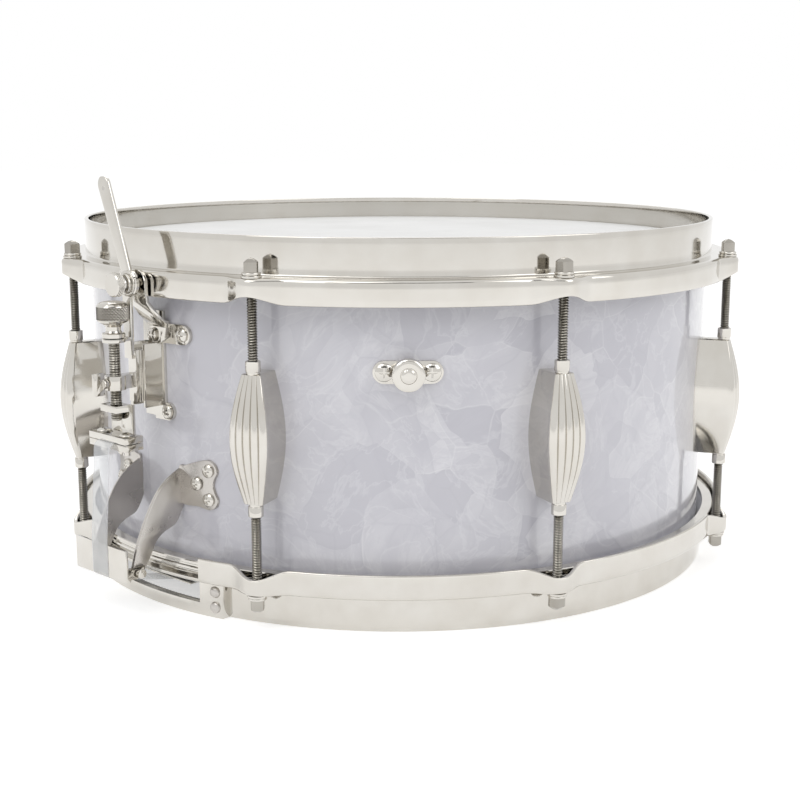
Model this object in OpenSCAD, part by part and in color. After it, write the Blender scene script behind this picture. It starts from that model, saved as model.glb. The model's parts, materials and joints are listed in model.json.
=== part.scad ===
/* [Shell] */
// Outside diameter of the drum, over its wrap
shell_d = 355.6; // [290:0.1:430]
// Distance between the two bearing edges
shell_depth = 165.1; // [135:0.1:200]
// Thickness of the wooden shell
shell_wall = 5.5; // [4.5:0.1:8]
// Thickness of the pearl wrap
wrap_t = 0.5; // [0.4:0.1:0.8]
// Height of each reinforcement ring
ring_h = 25; // [12:1:30]
// Thickness of each reinforcement ring
ring_t = 5; // [3:0.5:7]

/* [Heads and hoops] */
// Thickness of the drum heads
film_t = 0.3; // [0.25:0.05:0.5]
// Height of the hoop's upright wall above its shelf
rim_h = 21.1; // [16:0.1:26]
// Thickness of the hoop metal
hoop_t = 2.3; // [1.6:0.1:2.6]
// Depth of the collar that covers the flesh hoop
collar_h = 12.8; // [9:0.1:14]
// Distance from the bearing edge down to the underside of the hoop's shelf
seat_drop = 7.8; // [6:0.1:9]
// How far the hoop's ears bulge past the collar
ear_bulge = 7; // [6:0.5:8]

/* [Tuning] */
// Height of a lug
lug_h = 64; // [54:1:77]
// Width of a lug at its middle
lug_w = 20; // [18:0.5:24]
// Diameter of a tension rod
rod_d = 5.2; // [4.8:0.1:5.6]
// Diameter of a swivel nut
nut_d = 7.4; // [7:0.1:8]

/* [Snares] */
// Number of coiled snare wires
wire_count = 20; // [12:2:24]
// Diameter of a coiled snare wire
wire_d = 1.6; // [1.3:0.1:1.7]
// Width of the snare band
band_w = 42; // [36:1:46]
// Width of the strap
strap_w = 13; // [10:0.5:16]
// Thickness of the strap
strap_t = 0.4; // [0.3:0.1:0.6]
// Distance from the shell to the outside of the bridge plate
bridge_reach = 38.6; // [36:0.1:44]

/* [Strainer] */
// Length of the throw-off handle from its pivot
handle_len = 54.6; // [45:0.1:64]
// Lean of the handle at rest
handle_lean = 21; // [15:1:24]
// Diameter of the knurled tension knob
knob_d = 16; // [13:0.5:16.5]
// Diameter of the adjusting screw
screw_d = 5.8; // [4.8:0.1:6]
// Distance from the shell to the adjusting screw
screw_u = 25.5; // [25:0.1:28]

/* [Hidden] */
$fn = 96;
NICKEL = [0.80, 0.79, 0.76];
STEEL = [0.50, 0.49, 0.47];
PEARL = [0.82, 0.81, 0.86];
FILM = [0.95, 0.95, 0.94];

// Heights, from the bottom edge of the bottom hoop
r = shell_d / 2;
edge_z0 = rim_h - seat_drop + 0.1;
edge_z1 = edge_z0 + shell_depth;
mid_z = (edge_z0 + edge_z1) / 2;
top_z = 2 * mid_z;
shelf_lo = top_z - rim_h;
shelf_hi = shelf_lo + hoop_t;
collar_lo = shelf_hi - collar_h;

// Radii
ply_r = r - wrap_t;
inner_r = ply_r - shell_wall;
apex_r = ply_r - 1.5;
wall_r0 = ply_r + film_t + 0.4;
wall_r1 = wall_r0 + hoop_t;
collar_r1 = wall_r0 + 12;
collar_r0 = collar_r1 - hoop_t;
rod_r = collar_r1 + 1.1;
ear_half = 15;
flesh_r0 = wall_r0 + 3;
flesh_r1 = collar_r0 - 0.9;
flesh_lo = shelf_lo - 7.4;

// Tuning hardware
lug_z0 = mid_z - lug_h / 2;
lug_z1 = mid_z + lug_h / 2;
lug_angles = [for (i = [0:7]) 22.5 + 45 * i];
nut_out = 6;
nut_in = 17;
fit_gap = 0.06;
rod_end_z = lug_z1 - 14;
head_z = shelf_hi + 2.4;
lug_screw_off = 18;

// Snares hang just under the snare head
wire_r = wire_d / 2;
wire_z = edge_z0 - film_t - wire_r - 0.3;
wire_half = r - 14.8;
plate_t = 0.8;
plate_len = 14;

// Gate in the bottom hoop, with its guard
gate_half = 39;
guard_r1 = wall_r1 + 4.3;
guard_low = 6.5;
guard_half = 48;
rivet_a = 13.7;

// Bridge, measured outward from the shell
bridge_t = 1.5;
bridge_z0 = 21;
bridge_z1 = 38;
bridge_half = 21;
arm_s = 17;
arm_t = 1.5;
flange_t = 1.5;
base_t = 1.8;
strap_u = bridge_reach + strap_t;

// Strainer, heights measured down from the top hoop
sz = top_z - 191.9;
pivot_s = 5.5;
pivot_z = 167 + sz;
crank_r = 6.5;
crank_a = 142.5;
pin_s = pivot_s + crank_r * cos(crank_a);
pin_z = pivot_z + crank_r * sin(crank_a);
pin_r = 1.5;
bolt_r = 2.2;
lever_u0 = 17.4;
lever_t = 2.5;
link_u0 = 15.3;
link_t = 1.8;
clamp_z = 89 + sz;
clamp_t = 3.2;
clamp_half = 15;
clamp_u0 = 21;
clamp_u1 = 32;
clamp_screw_s = 9.4;
butt_clamp_z = 89 + sz;

// Muffler, turned by the tone knob
tone_a = 45;
tone_z = 128.5 + sz;
tone_screw_s = 11.35;
muffler_pivot_r = inner_r - 12;

// Turns its children to face outward at angle a, with x sideways and -y outward
module at(a) { rotate([0, 0, a]) children(); }
// A rod, disc or bore that points outward, from u0 to u1 off the shell, at sideways s and height z
module out_rod(s, z, u0, u1, radius) {
    translate([s, -r - u0, z]) rotate([90, 0, 0]) cylinder(h = u1 - u0, r = radius);
}
// The same, but square to the round shell at each place in a list of [sideways, height]
module round_rods(places, u0, u1, radius) {
    for (p = places) at(asin(p[0] / r)) out_rod(0, p[1], u0, u1, radius);
}
// A box given by its limits sideways, outward and up
module out_box(s0, s1, u0, u1, z0, z1) {
    translate([s0, -r - u1, z0]) cube([s1 - s0, u1 - u0, z1 - z0]);
}
// A closed ring about the drum axis
module band(r0, r1, z0, z1) {
    difference() {
        translate([0, 0, z0]) cylinder(h = z1 - z0, r = r1, $fn = 180);
        translate([0, 0, z0 - 1]) cylinder(h = z1 - z0 + 2, r = r0, $fn = 180);
    }
}
// An outline drawn sideways and up, pushed outward from u0 to u1
module out_plate(u0, u1) {
    translate([0, -r - u0, 0]) rotate([90, 0, 0]) linear_extrude(u1 - u0) children();
}
// An outline drawn outward and up, spread sideways from s0 to s1
module side_plate(s0, s1) {
    translate([s0, -r, 0]) rotate([90, 0, -90]) mirror([0, 0, 1]) linear_extrude(s1 - s0) children();
}
// A domed screw head that points outward, with a cross cut in it
module dome(s, z, u, radius, high) {
    difference() {
        translate([s, -r - u, z]) rotate([90, 0, 0]) intersection() {
            cylinder(h = high, r = radius, $fn = 32);
            translate([0, 0, high - 1.6 * radius]) sphere(r = 1.6 * radius, $fn = 48);
        }
        out_box(s - 0.55 * radius, s + 0.55 * radius, u + high - 0.7, u + high + 1, z - 0.4, z + 0.4);
        out_box(s - 0.4, s + 0.4, u + high - 0.7, u + high + 1, z - 0.55 * radius, z + 0.55 * radius);
    }
}

// Shell of plywood, with bearing edges and a hole for everything bolted through it
module shell() {
    color("BurlyWood") difference() {
        rotate_extrude($fn = 180) polygon([
            [inner_r, edge_z0 + 4.5], [apex_r, edge_z0], [ply_r, edge_z0 + 1.5],
            [ply_r, edge_z1 - 1.5], [apex_r, edge_z1], [inner_r, edge_z1 - 4.5]
        ]);
        for (a = lug_angles, k = [-1, 1]) at(a) out_rod(0, mid_z + k * lug_screw_off, -12, 2, 2.2);
        at(225) out_rod(0, mid_z, -12, 2, 6.1);
        at(tone_a) for (m = [-1, 1]) out_rod(m * tone_screw_s, tone_z, -12, 2, 1.9);
        at(tone_a) out_rod(0, tone_z, -12, 2, 3.2);
        through_screws(-12, 2, 1.9);
    }
}
// Every hole or shank of the strainer, butt and bridge screws
module through_screws(u0, u1, radius) {
    round_rods(strainer_screw_at, u0, u1, radius);
    at(180) round_rods(butt_screw_at, u0, u1, radius);
    for (a = [0, 180], m = [0, 1]) at(a) mirror([m, 0, 0]) round_rods(arm_screw_at, u0, u1, radius);
}
arm_screw_at = [[36, 74], [28.5, 66.5], [36, 59]];
strainer_screw_at = [[22, 141 + sz], [9.8, 101 + sz], [0, 139.3 + sz]];
butt_screw_at = [[0, 110 + sz], [0, 76 + sz]];

// Pearl wrap glued around the shell
module pearl_wrap() {
    color(PEARL) difference() {
        band(ply_r, r, edge_z0 + 8.6, edge_z1 - 8.6);
        for (a = lug_angles, k = [-1, 1]) at(a) out_rod(0, mid_z + k * lug_screw_off, -12, 2, 2.2);
        at(225) out_rod(0, mid_z, -12, 2, 6.1);
        at(tone_a) for (m = [-1, 1]) out_rod(m * tone_screw_s, tone_z, -12, 2, 1.9);
        at(tone_a) out_rod(0, tone_z, -12, 2, 3.2);
        through_screws(-12, 2, 1.9);
    }
}
// Two glued hoops inside the shell
module reinforcement_rings() {
    color("Tan") {
        band(inner_r - ring_t, inner_r, edge_z0 + 5.5, edge_z0 + 5.5 + ring_h);
        band(inner_r - ring_t, inner_r, edge_z1 - 5.5 - ring_h, edge_z1 - 5.5);
    }
}
// A head seen in section above the top bearing edge: film over the edge, then out to its flesh hoop
module head_top() {
    rotate_extrude($fn = 180) polygon([
        [0, edge_z1], [apex_r, edge_z1], [ply_r + 0.05, edge_z1 - 1.45], [ply_r + 0.05, shelf_lo],
        [flesh_r0, flesh_lo + 2.6], [flesh_r0, flesh_lo + 3.1], [ply_r + 0.05 + film_t, shelf_lo + 0.2],
        [ply_r + 0.05 + film_t, edge_z1 - 1.4], [apex_r, edge_z1 + film_t], [0, edge_z1 + film_t]
    ]);
}
module to_bottom() { translate([0, 0, top_z]) mirror([0, 0, 1]) children(); }
module batter_head() { color(FILM) head_top(); }
module snare_head() { color(FILM) to_bottom() head_top(); }
// Flesh hoop, a grooved metal ring that grips the film
module flesh_top() {
    rotate_extrude($fn = 180) polygon([
        [flesh_r0, flesh_lo], [flesh_r1, flesh_lo], [flesh_r1, flesh_lo + 1.6],
            [flesh_r1 - 0.8, flesh_lo + 2.2],
        [flesh_r1 - 0.8, flesh_lo + 3], [flesh_r1, flesh_lo + 3.6], [flesh_r1, flesh_lo + 4.6],
        [flesh_r1 - 0.8, flesh_lo + 5.2], [flesh_r1 - 0.8, flesh_lo + 5.9], [flesh_r1, flesh_lo + 6.5],
        [flesh_r1, shelf_lo], [flesh_r0, shelf_lo]
    ]);
}
module batter_flesh_hoop() { color(NICKEL) flesh_top(); }
module snare_flesh_hoop() { color(NICKEL) to_bottom() flesh_top(); }

// Outline of one ear: a smooth bump on the collar, drawn from inside the collar outward
module ear_outline(inset) {
    n = 12;
    polygon(concat(
        [[-ear_half, -collar_r0 + 1], [ear_half, -collar_r0 + 1]],
        [for (i = [n:-1:-n]) let (s = ear_half * i / n)
            [s, -sqrt(collar_r1 * collar_r1 - s * s) - ear_bulge * (1 + cos(180 * i / n)) / 2 + inset]]
    ));
}
// Hoop for the top edge: upright wall, shelf, collar and eight ears with a hole for each rod
module hoop_top() {
    difference() {
        union() {
            difference() {
                rotate_extrude($fn = 180) polygon([
                    [wall_r0, shelf_lo], [collar_r0, shelf_lo], [collar_r0, collar_lo + 0.4],
                    [collar_r0 + 0.4, collar_lo], [collar_r1 - 0.4, collar_lo],
                        [collar_r1, collar_lo + 0.4],
                    [collar_r1, shelf_hi - 1], [collar_r1 - 1, shelf_hi], [wall_r1, shelf_hi],
                    [wall_r1, top_z - 0.4], [wall_r1 - 0.4, top_z], [wall_r0 + 0.4, top_z],
                        [wall_r0, top_z - 0.4]
                ]);
                for (a = lug_angles) at(a)
                    translate([0, 0, collar_lo - 1]) linear_extrude(collar_h - hoop_t + 1)
                        ear_outline(hoop_t);
            }
            for (a = lug_angles) at(a) translate([0, 0, collar_lo + 3.5]) difference() {
                linear_extrude(collar_h - 3.5) ear_outline(0);
                translate([0, 0, -1]) linear_extrude(collar_h - hoop_t - 2.5) ear_outline(hoop_t);
            }
        }
        for (a = lug_angles) at(a)
            translate([0, -rod_r, shelf_lo - 1]) cylinder(h = hoop_t + 2, r = rod_d / 2 + 0.4, $fn = 32);
    }
}
module top_hoop() { color(NICKEL) hoop_top(); }
// The bottom hoop is the same, with a gate cut at each end of the snares
module bottom_hoop() {
    color(NICKEL) difference() {
        to_bottom() hoop_top();
        for (a = [0, 180]) at(a) {
            out_box(-gate_half, gate_half, -6, wall_r1 - r + 0.5, -1, rim_h - hoop_t);
            out_box(-gate_half, gate_half, 6, collar_r1 - r + 1, rim_h, rim_h + collar_h);
        }
    }
}

// Lug: barrel outline from the front, bowed outline from the side, seated on the round shell
module lug() {
    n = 10;
    h = lug_h / 2;
    intersection() {
        out_plate(-5, 40) polygon(concat(
            [for (i = [-n:n]) [4.8 + (lug_w / 2 - 4.8) * cos(90 * i / n), mid_z + h * i / n]],
            [for (i = [n:-1:-n]) [-4.8 - (lug_w / 2 - 4.8) * cos(90 * i / n), mid_z + h * i / n]]
        ));
        side_plate(-20, 20) polygon(concat(
            [[-5, lug_z1], [-5, lug_z0]],
            [for (i = [-n:n]) [rod_r - r + 3.2 + 6.4 * cos(90 * i / n), mid_z + h * i / n]]
        ));
    }
}
module lugs() {
    color(NICKEL) for (a = lug_angles) at(a) difference() {
        lug();
        cylinder(h = top_z, r = r, $fn = 180);
        for (k = [-1, 1]) {
            translate([0, -rod_r, mid_z + k * lug_h / 2]) mirror([0, 0, (1 + k) / 2])
                translate([0, 0, -1]) cylinder(h = nut_in + 4, r = nut_d / 2 + fit_gap);
            out_rod(0, mid_z + k * lug_screw_off, -2, 7, 2.05);
        }
    }
}
// Swivel nuts, seated in the ends of each lug
module swivel_nuts() {
    color(NICKEL) for (a = lug_angles, k = [0, 1]) at(a) translate([0, 0, k * top_z]) mirror([0, 0, k])
        translate([0, -rod_r, 0]) difference() {
            union() {
                translate([0, 0, lug_z0]) cylinder(h = nut_in, r = nut_d / 2);
                translate([0, 0, lug_z0 - nut_out]) cylinder(h = nut_out - 0.6, r = nut_d / 2);
                translate([0, 0, lug_z0 - 0.6]) cylinder(h = 0.6, r = nut_d / 2 - 0.5);
            }
            translate([0, 0, lug_z0 - nut_out - 1])
                cylinder(h = nut_in + nut_out + 2, r = rod_d / 2 + fit_gap);
        }
}
// Screws and washers that hold the lugs from inside the shell
module lug_screws() {
    color(STEEL) for (a = lug_angles, k = [-1, 1]) at(a) {
        z = mid_z + k * lug_screw_off;
        intersection() {
            out_rod(0, z, inner_r - r - 2, 0, 5);
            band(inner_r - 1, inner_r, 0, top_z);
        }
        out_rod(0, z, inner_r - r - 3.4, 6.5, 2);
        out_rod(0, z, inner_r - r - 3.4, inner_r - r - 0.9, 3.6);
    }
}
// A plain washer under each rod head
module rod_washers() {
    color(NICKEL) for (a = lug_angles, k = [0, 1]) at(a) translate([0, 0, k * top_z]) mirror([0, 0, k])
        translate([0, -rod_r, top_z - shelf_hi - 1.2]) difference() {
            cylinder(h = 1.2, r = 5, $fn = 48);
            translate([0, 0, -1]) cylinder(h = 4, r = rod_d / 2 + 0.3, $fn = 48);
        }
}
// Tension rod for the top hoop: square key head with a chamfered tip, round collar, shank
module rod_top() {
    translate([0, -rod_r, 0]) {
        translate([0, 0, rod_end_z]) cylinder(h = head_z - rod_end_z, r = rod_d / 2, $fn = 48);
        translate([0, 0, shelf_hi + 1.25]) cylinder(h = 1.4, r = 4.6, $fn = 48);
        intersection() {
            translate([-3.17, -3.17, head_z]) cube([6.34, 6.34, 7]);
            translate([0, 0, head_z + 7 - 7.4]) sphere(r = 7.4, $fn = 64);
        }
    }
}
module top_rod(i) { color(STEEL) at(lug_angles[i - 1]) rod_top(); }
module bottom_rod(i) { color(STEEL) at(lug_angles[i - 1]) to_bottom() rod_top(); }

// Air vent grommet, flared inside and outside
module air_vent() {
    color(NICKEL) at(225) difference() {
        union() {
            out_rod(0, mid_z, inner_r - r - 1, 1, 6);
            intersection() {
                out_rod(0, mid_z, -3, 6, 9);
                band(r, r + 1.2, 0, top_z);
            }
            intersection() {
                out_rod(0, mid_z, inner_r - r - 4, inner_r - r + 2, 8);
                band(inner_r - 1, inner_r, 0, top_z);
            }
        }
        out_rod(0, mid_z, -15, 8, 4.6);
    }
}

// Coiled wires, side by side under the snare head
module snare_wires() {
    pitch = (band_w - 4) / (wire_count - 1);
    color(STEEL) for (i = [0:wire_count - 1])
        translate([(i - (wire_count - 1) / 2) * pitch, wire_half, wire_z]) rotate([90, 0, 0])
            cylinder(h = 2 * wire_half, r = wire_r, $fn = 16);
}
// Flat plates that the wires are soldered to
module snare_end_plates() {
    color(NICKEL) for (a = [0, 180]) at(a)
        translate([-band_w / 2, -wire_half - plate_len, wire_z - plate_t / 2])
            cube([band_w, plate_len, plate_t]);
}
// Arm that carries the bridge: an upright blade with a scalloped flange screwed to the shell
module bridge_arm() {
    difference() {
        union() {
            side_plate(arm_s - arm_t / 2, arm_s + arm_t / 2) polygon([
                [-0.5, 73], [16, 61.5], [22.4, 51], [27, 43], [29.5, 36], [32, 27], [32, 22],
                [26, 22], [24, 26.3], [20, 32], [17, 38.5], [12, 42], [3, 45], [-0.5, 53]
            ]);
            intersection() {
                band(r, r + flange_t, 0, top_z);
                out_plate(-10, 10) union() {
                    for (p = arm_screw_at) translate([p[0], p[1]]) circle(r = 5.4, $fn = 32);
                    polygon([[arm_s - arm_t / 2, 73], [36, 79.4], [38, 66.5], [36, 53.6],
                        [arm_s - arm_t / 2, 54]]);
                }
            }
        }
        cylinder(h = top_z, r = r, $fn = 180);
        round_rods(arm_screw_at, -3, 6, 1.9);
        side_plate(arm_s - 3, arm_s + 3) translate([29, 24.6]) circle(r = 1.35, $fn = 32);
    }
}
module bridge_arms() { color(NICKEL) for (a = [0, 180], m = [0, 1]) at(a) mirror([m, 0, 0]) bridge_arm(); }
// Twelve screws hold the arms to the shell, four short ones hold the bridges to the arms
module arm_screws() {
    color(STEEL) for (a = [0, 180], m = [0, 1]) at(a) mirror([m, 0, 0]) {
        for (p = arm_screw_at) at(asin(p[0] / r)) dome(0, p[1], flange_t, 3.4, 2.2);
        round_rods(arm_screw_at, inner_r - r - 3, flange_t, 1.8);
        side_plate(arm_s - 2, arm_s + 3.6) translate([29, 24.6]) circle(r = 1.3, $fn = 32);
        side_plate(arm_s + 3.4, arm_s + 4.6) translate([29, 24.6]) circle(r = 2.4, $fn = 32);
    }
}
// Bridge: a plate with a rolled lower lip and a flap at each end that is screwed to an arm
module bridge() {
    difference() {
        union() {
            out_box(-bridge_half, bridge_half, bridge_reach - bridge_t, bridge_reach, bridge_z0 + 1.5,
                bridge_z1);
            translate([-bridge_half, -r - bridge_reach + 1.5, bridge_z0 + 1.5]) rotate([0, 90, 0])
                cylinder(h = 2 * bridge_half, r = 1.5, $fn = 32);
            for (m = [-1, 1]) {
                s = m * (arm_s + arm_t / 2 + 0.9);
                out_box(s - 0.75, s + 0.75, 26, bridge_reach - 1, bridge_z0 + 1, bridge_z0 + 7);
            }
        }
        side_plate(-30, 30) translate([29, 24.6]) circle(r = 1.35, $fn = 32);
    }
}
module strainer_bridge() { color(NICKEL) bridge(); }
module butt_bridge() { color(NICKEL) at(180) bridge(); }

// Guard across each gate: two cheeks riveted to the hoop, a low rail between them
module snare_guards() {
    color(NICKEL) for (a = [0, 180]) at(a) difference() {
        intersection() {
            band(wall_r1, guard_r1, 0, rim_h - hoop_t);
            out_box(-guard_half, guard_half, -5, 20, 0, rim_h - hoop_t);
        }
        out_box(-34, 34, -5, 20, guard_low, rim_h);
        for (b = [-rivet_a, rivet_a], z = [5.5, 13.5]) at(b) out_rod(0, z, -15, 12, 1.55);
    }
}
// Domed rivets through each cheek and the hoop
module guard_rivets() {
    color(NICKEL) for (a = [0, 180], b = [-rivet_a, rivet_a], z = [5.5, 13.5]) at(a + b) {
        dome(0, z, guard_r1 - r, 3, 1.7);
        out_rod(0, z, wall_r1 - r, guard_r1 - r, 1.5);
    }
}

// Strainer base: a shell plate with a wing, a foot tab, a channel for the slider and a neck up past the hoop
module strainer_base() {
    color(NICKEL) difference() {
        union() {
            intersection() {
                band(r, r + base_t, 0, top_z);
                out_plate(-10, 10) union() {
                    translate([-8, 98 + sz]) square([16, 54]);
                    translate([0, 136 + sz]) square([22, 10]);
                    translate([22, 141 + sz]) circle(r = 5, $fn = 32);
                    translate([0, 96.5 + sz]) square([9.8, 9]);
                    translate([9.8, 101 + sz]) circle(r = 4.5, $fn = 32);
                }
            }
            for (m = [-1, 1]) out_box(m * 5.5 - 1, m * 5.5 + 1, 1, 12, 104 + sz, 136 + sz);
            side_plate(-1, 12) polygon([
                [0.5, 144 + sz], [3, 144 + sz], [9, 150 + sz], [14, 157 + sz], [14.9, 162 + sz],
                    [14.9, pivot_z],
                [12.9, pivot_z], [12.9, 162.5 + sz], [12.2, 158 + sz], [7.5, 152 + sz], [3, 147.5 + sz],
                    [0.5, 147.5 + sz]
            ]);
            out_rod(pivot_s, pivot_z, 12.9, 14.9, 6.5);
        }
        cylinder(h = top_z, r = r, $fn = 180);
        round_rods(strainer_screw_at, -3, 12, 1.9);
        out_rod(pivot_s, pivot_z, 10, 20, bolt_r + fit_gap);
    }
}
module strainer_screws() {
    color(STEEL) {
        for (p = strainer_screw_at) at(asin(p[0] / r)) dome(0, p[1], base_t, 3.4, 2.2);
        round_rods(strainer_screw_at, inner_r - r - 3, base_t, 1.8);
    }
}
// Bolt that the lever turns on
module pivot_bolt() {
    color(STEEL) {
        out_rod(pivot_s, pivot_z, 12.75, 28, bolt_r);
        out_rod(pivot_s, pivot_z, 12.35, 12.85, 3.4);
    }
}
module pivot_washers() {
    color(NICKEL) for (w = [[lever_u0 + lever_t + 0.1, 1, 6.3], [lever_u0 + lever_t + 1.3, 1.6, 5.2]])
        difference() {
        out_rod(pivot_s, pivot_z, w[0], w[0] + w[1], w[2]);
        out_rod(pivot_s, pivot_z, w[0] - 1, w[0] + 4, bolt_r + fit_gap);
    }
}
// Knurled cap that sets how stiffly the lever turns
module pivot_cap() {
    u0 = lever_u0 + lever_t + 3.1;
    color(NICKEL) difference() {
        union() {
            out_rod(pivot_s, pivot_z, u0, u0 + 2.4, 3.6);
            out_rod(pivot_s, pivot_z, u0 + 2.2, u0 + 6.5, 6);
        }
        out_rod(pivot_s, pivot_z, u0 - 1, 28.2, bolt_r + fit_gap);
    }
}
// Throw-off lever: hub, flat handle and a crank pin that lifts the link
module throw_off_lever() {
    color(NICKEL) difference() {
        union() {
            out_rod(pivot_s, pivot_z, lever_u0, lever_u0 + lever_t, 6.6);
            out_rod(pin_s, pin_z, lever_u0, lever_u0 + lever_t, 2.6);
            out_rod(pin_s, pin_z, link_u0 - 0.1, lever_u0 + 0.5, pin_r);
            translate([pivot_s, 0, pivot_z]) rotate([0, -handle_lean, 0]) {
                out_box(-4.4, 4.4, lever_u0, lever_u0 + lever_t, 0, handle_len - 4.4);
                out_rod(0, handle_len - 4.4, lever_u0, lever_u0 + lever_t, 4.4);
            }
        }
        out_rod(pivot_s, pivot_z, 10, 30, bolt_r + fit_gap);
        translate([pivot_s, 0, pivot_z]) rotate([0, -handle_lean, 0])
            out_rod(0, handle_len - 5.5, lever_u0 + lever_t - 0.8, lever_u0 + lever_t + 1, 1.3);
    }
}
// Slider: block in the channel, link up to the crank pin, eye for the knob's neck and a barrel for the screw
module slider() {
    color(NICKEL) difference() {
        union() {
            out_box(-4.2, 4.2, 2.3, 13, 107 + sz, 133 + sz);
            out_box(-3.2, 3.2, 13, 15, 107 + sz, 133 + sz);
            out_box(-2.5, 2.5, 14, screw_u - 4, 114.5 + sz, 121.5 + sz);
            translate([0, -r - screw_u, 114.5 + sz]) cylinder(h = 7, r = 5.2);
            out_box(-3.2, 2.7, link_u0, link_u0 + link_t, 131 + sz, pin_z);
            out_box(-3.2, 2.7, 13, link_u0 + link_t, 129 + sz, 132.8 + sz);
            out_box(-3.95, 2.9, link_u0, link_u0 + link_t, pin_z - 3, pin_z + 2.8);
            out_box(-3.2, 2.7, link_u0, screw_u, 138.2 + sz, 140 + sz);
            translate([0, -r - screw_u, 138.2 + sz]) cylinder(h = 1.8, r = 5.7);
        }
        translate([0, -r - screw_u, 100 + sz]) cylinder(h = 60, r = screw_d / 2 + fit_gap);
        for (s = [pin_s, pivot_s - crank_r]) out_rod(s, pin_z, 10, 20, pin_r + 0.15);
        out_box(pivot_s - crank_r, pin_s, 10, 20, pin_z - pin_r - 0.15, pin_z + pin_r + 0.15);
        out_rod(0, 118 + sz, screw_u + 2, screw_u + 8, 1.5 + fit_gap);
    }
}
// Tension knob: knurled head, neck, flange and the adjusting screw, in one piece
module tension_knob() {
    color(NICKEL) translate([0, -r - screw_u, sz]) {
        translate([0, 0, 99]) cylinder(h = 45, r = screw_d / 2);
        translate([0, 0, 140.3]) cylinder(h = 2.6, r = 5.7);
        translate([0, 0, 142.8]) cylinder(h = 5.5, r = 4);
        intersection() {
            translate([0, 0, 148]) cylinder(h = 10.6, r = knob_d / 2);
            translate([0, 0, 158.6 - 2.2 * knob_d]) sphere(r = 2.2 * knob_d, $fn = 120);
        }
    }
}
// Wing screw that locks the adjusting screw
module wing_screw() {
    z = 118 + sz;
    color(NICKEL) {
        out_rod(0, z, screw_u + 3.2, screw_u + 6.2, 1.5);
        out_rod(0, z, screw_u + 5.5, screw_u + 8, 2.6);
        out_box(-1.1, 1.1, screw_u + 7, screw_u + 13, z - 5.5, z + 5.5);
    }
}
// Carriage: threaded ledge on the screw, upright plate, and a foot that is the upper clamp plate
module carriage() {
    color(NICKEL) difference() {
        union() {
            out_box(-6.5, 6.5, clamp_u0, 30.5, 103.6 + sz, 107 + sz);
            out_box(-9, 9, clamp_u0, clamp_u0 + 1.6, clamp_z + 0.25, 107 + sz);
            out_box(-clamp_half, clamp_half, clamp_u0, clamp_u1, clamp_z + strap_t / 2,
                clamp_z + strap_t / 2 + clamp_t);
        }
        translate([0, -r - screw_u, 95 + sz]) cylinder(h = 20, r = screw_d / 2 + fit_gap);
        for (m = [-1, 1]) translate([m * clamp_screw_s, -r - 27, clamp_z - 1])
            cylinder(h = 9, r = 1.9, $fn = 32);
    }
}
// Lower clamp plate
module clamp_plate(z) {
    difference() {
        out_box(-clamp_half, clamp_half, clamp_u0, clamp_u1, z - strap_t / 2 - clamp_t, z - strap_t / 2);
        for (m = [-1, 1]) translate([m * clamp_screw_s, -r - 27, z - 6]) cylinder(h = 9, r = 1.9, $fn = 32);
    }
}
// Two upright screws squeeze the clamp plates together
module clamp_screw_pair(z) {
    for (m = [-1, 1]) translate([m * clamp_screw_s, -r - 27, z]) {
        translate([0, 0, -6.5]) cylinder(h = 6.5 + strap_t / 2 + clamp_t + 0.3, r = 1.8, $fn = 32);
        translate([0, 0, strap_t / 2 + clamp_t]) intersection() {
            cylinder(h = 1.9, r = 3.4, $fn = 48);
            translate([0, 0, 1.9 - 5]) sphere(r = 5, $fn = 48);
        }
    }
}
module strainer_clamp() { color(NICKEL) clamp_plate(clamp_z); }
module clamp_screws() { color(STEEL) clamp_screw_pair(clamp_z); }
// Strap, from its clamp down over the bridge, round its lip and in to the end plate
module strap(z_clamp) {
    lip_z = bridge_z0;
    lip_u = bridge_reach - 1.5;
    q = strap_t;
    end_u = -(r - wire_half - plate_len) + 2;
    end_z = wire_z - plate_t / 2;
    color([0.9, 0.92, 0.95, 0.5]) {
        side_plate(-strap_w / 2, strap_w / 2) polygon([
            [clamp_u0 + 2, z_clamp - q / 2], [clamp_u1 + 1, z_clamp - q / 2], [clamp_u1 + 2.2, z_clamp - 1],
            [clamp_u1 + 3, z_clamp - 3], [bridge_reach + 0.1, bridge_z1 + 2],
                [bridge_reach + 0.1, lip_z + 1.5],
            [lip_u + 1.25, lip_z + 0.5], [lip_u + 0.5, lip_z - 0.2], [end_u + 9, end_z], [end_u, end_z],
            [end_u, end_z - q], [end_u + 9, end_z - q], [lip_u + 0.7, lip_z - 0.2 - q],
                [lip_u + 1.6, lip_z + 0.2],
            [bridge_reach + 0.1 + q, lip_z + 1.4], [bridge_reach + 0.1 + q, bridge_z1 + 2],
            [clamp_u1 + 3 + q, z_clamp - 2.9], [clamp_u1 + 2.5, z_clamp - 0.7],
            [clamp_u1 + 1.1, z_clamp + q / 2], [clamp_u0 + 2, z_clamp + q / 2]
        ]);
    }
}
module strainer_strap() { strap(clamp_z); }
module butt_strap() { at(180) strap(butt_clamp_z); }

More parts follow.
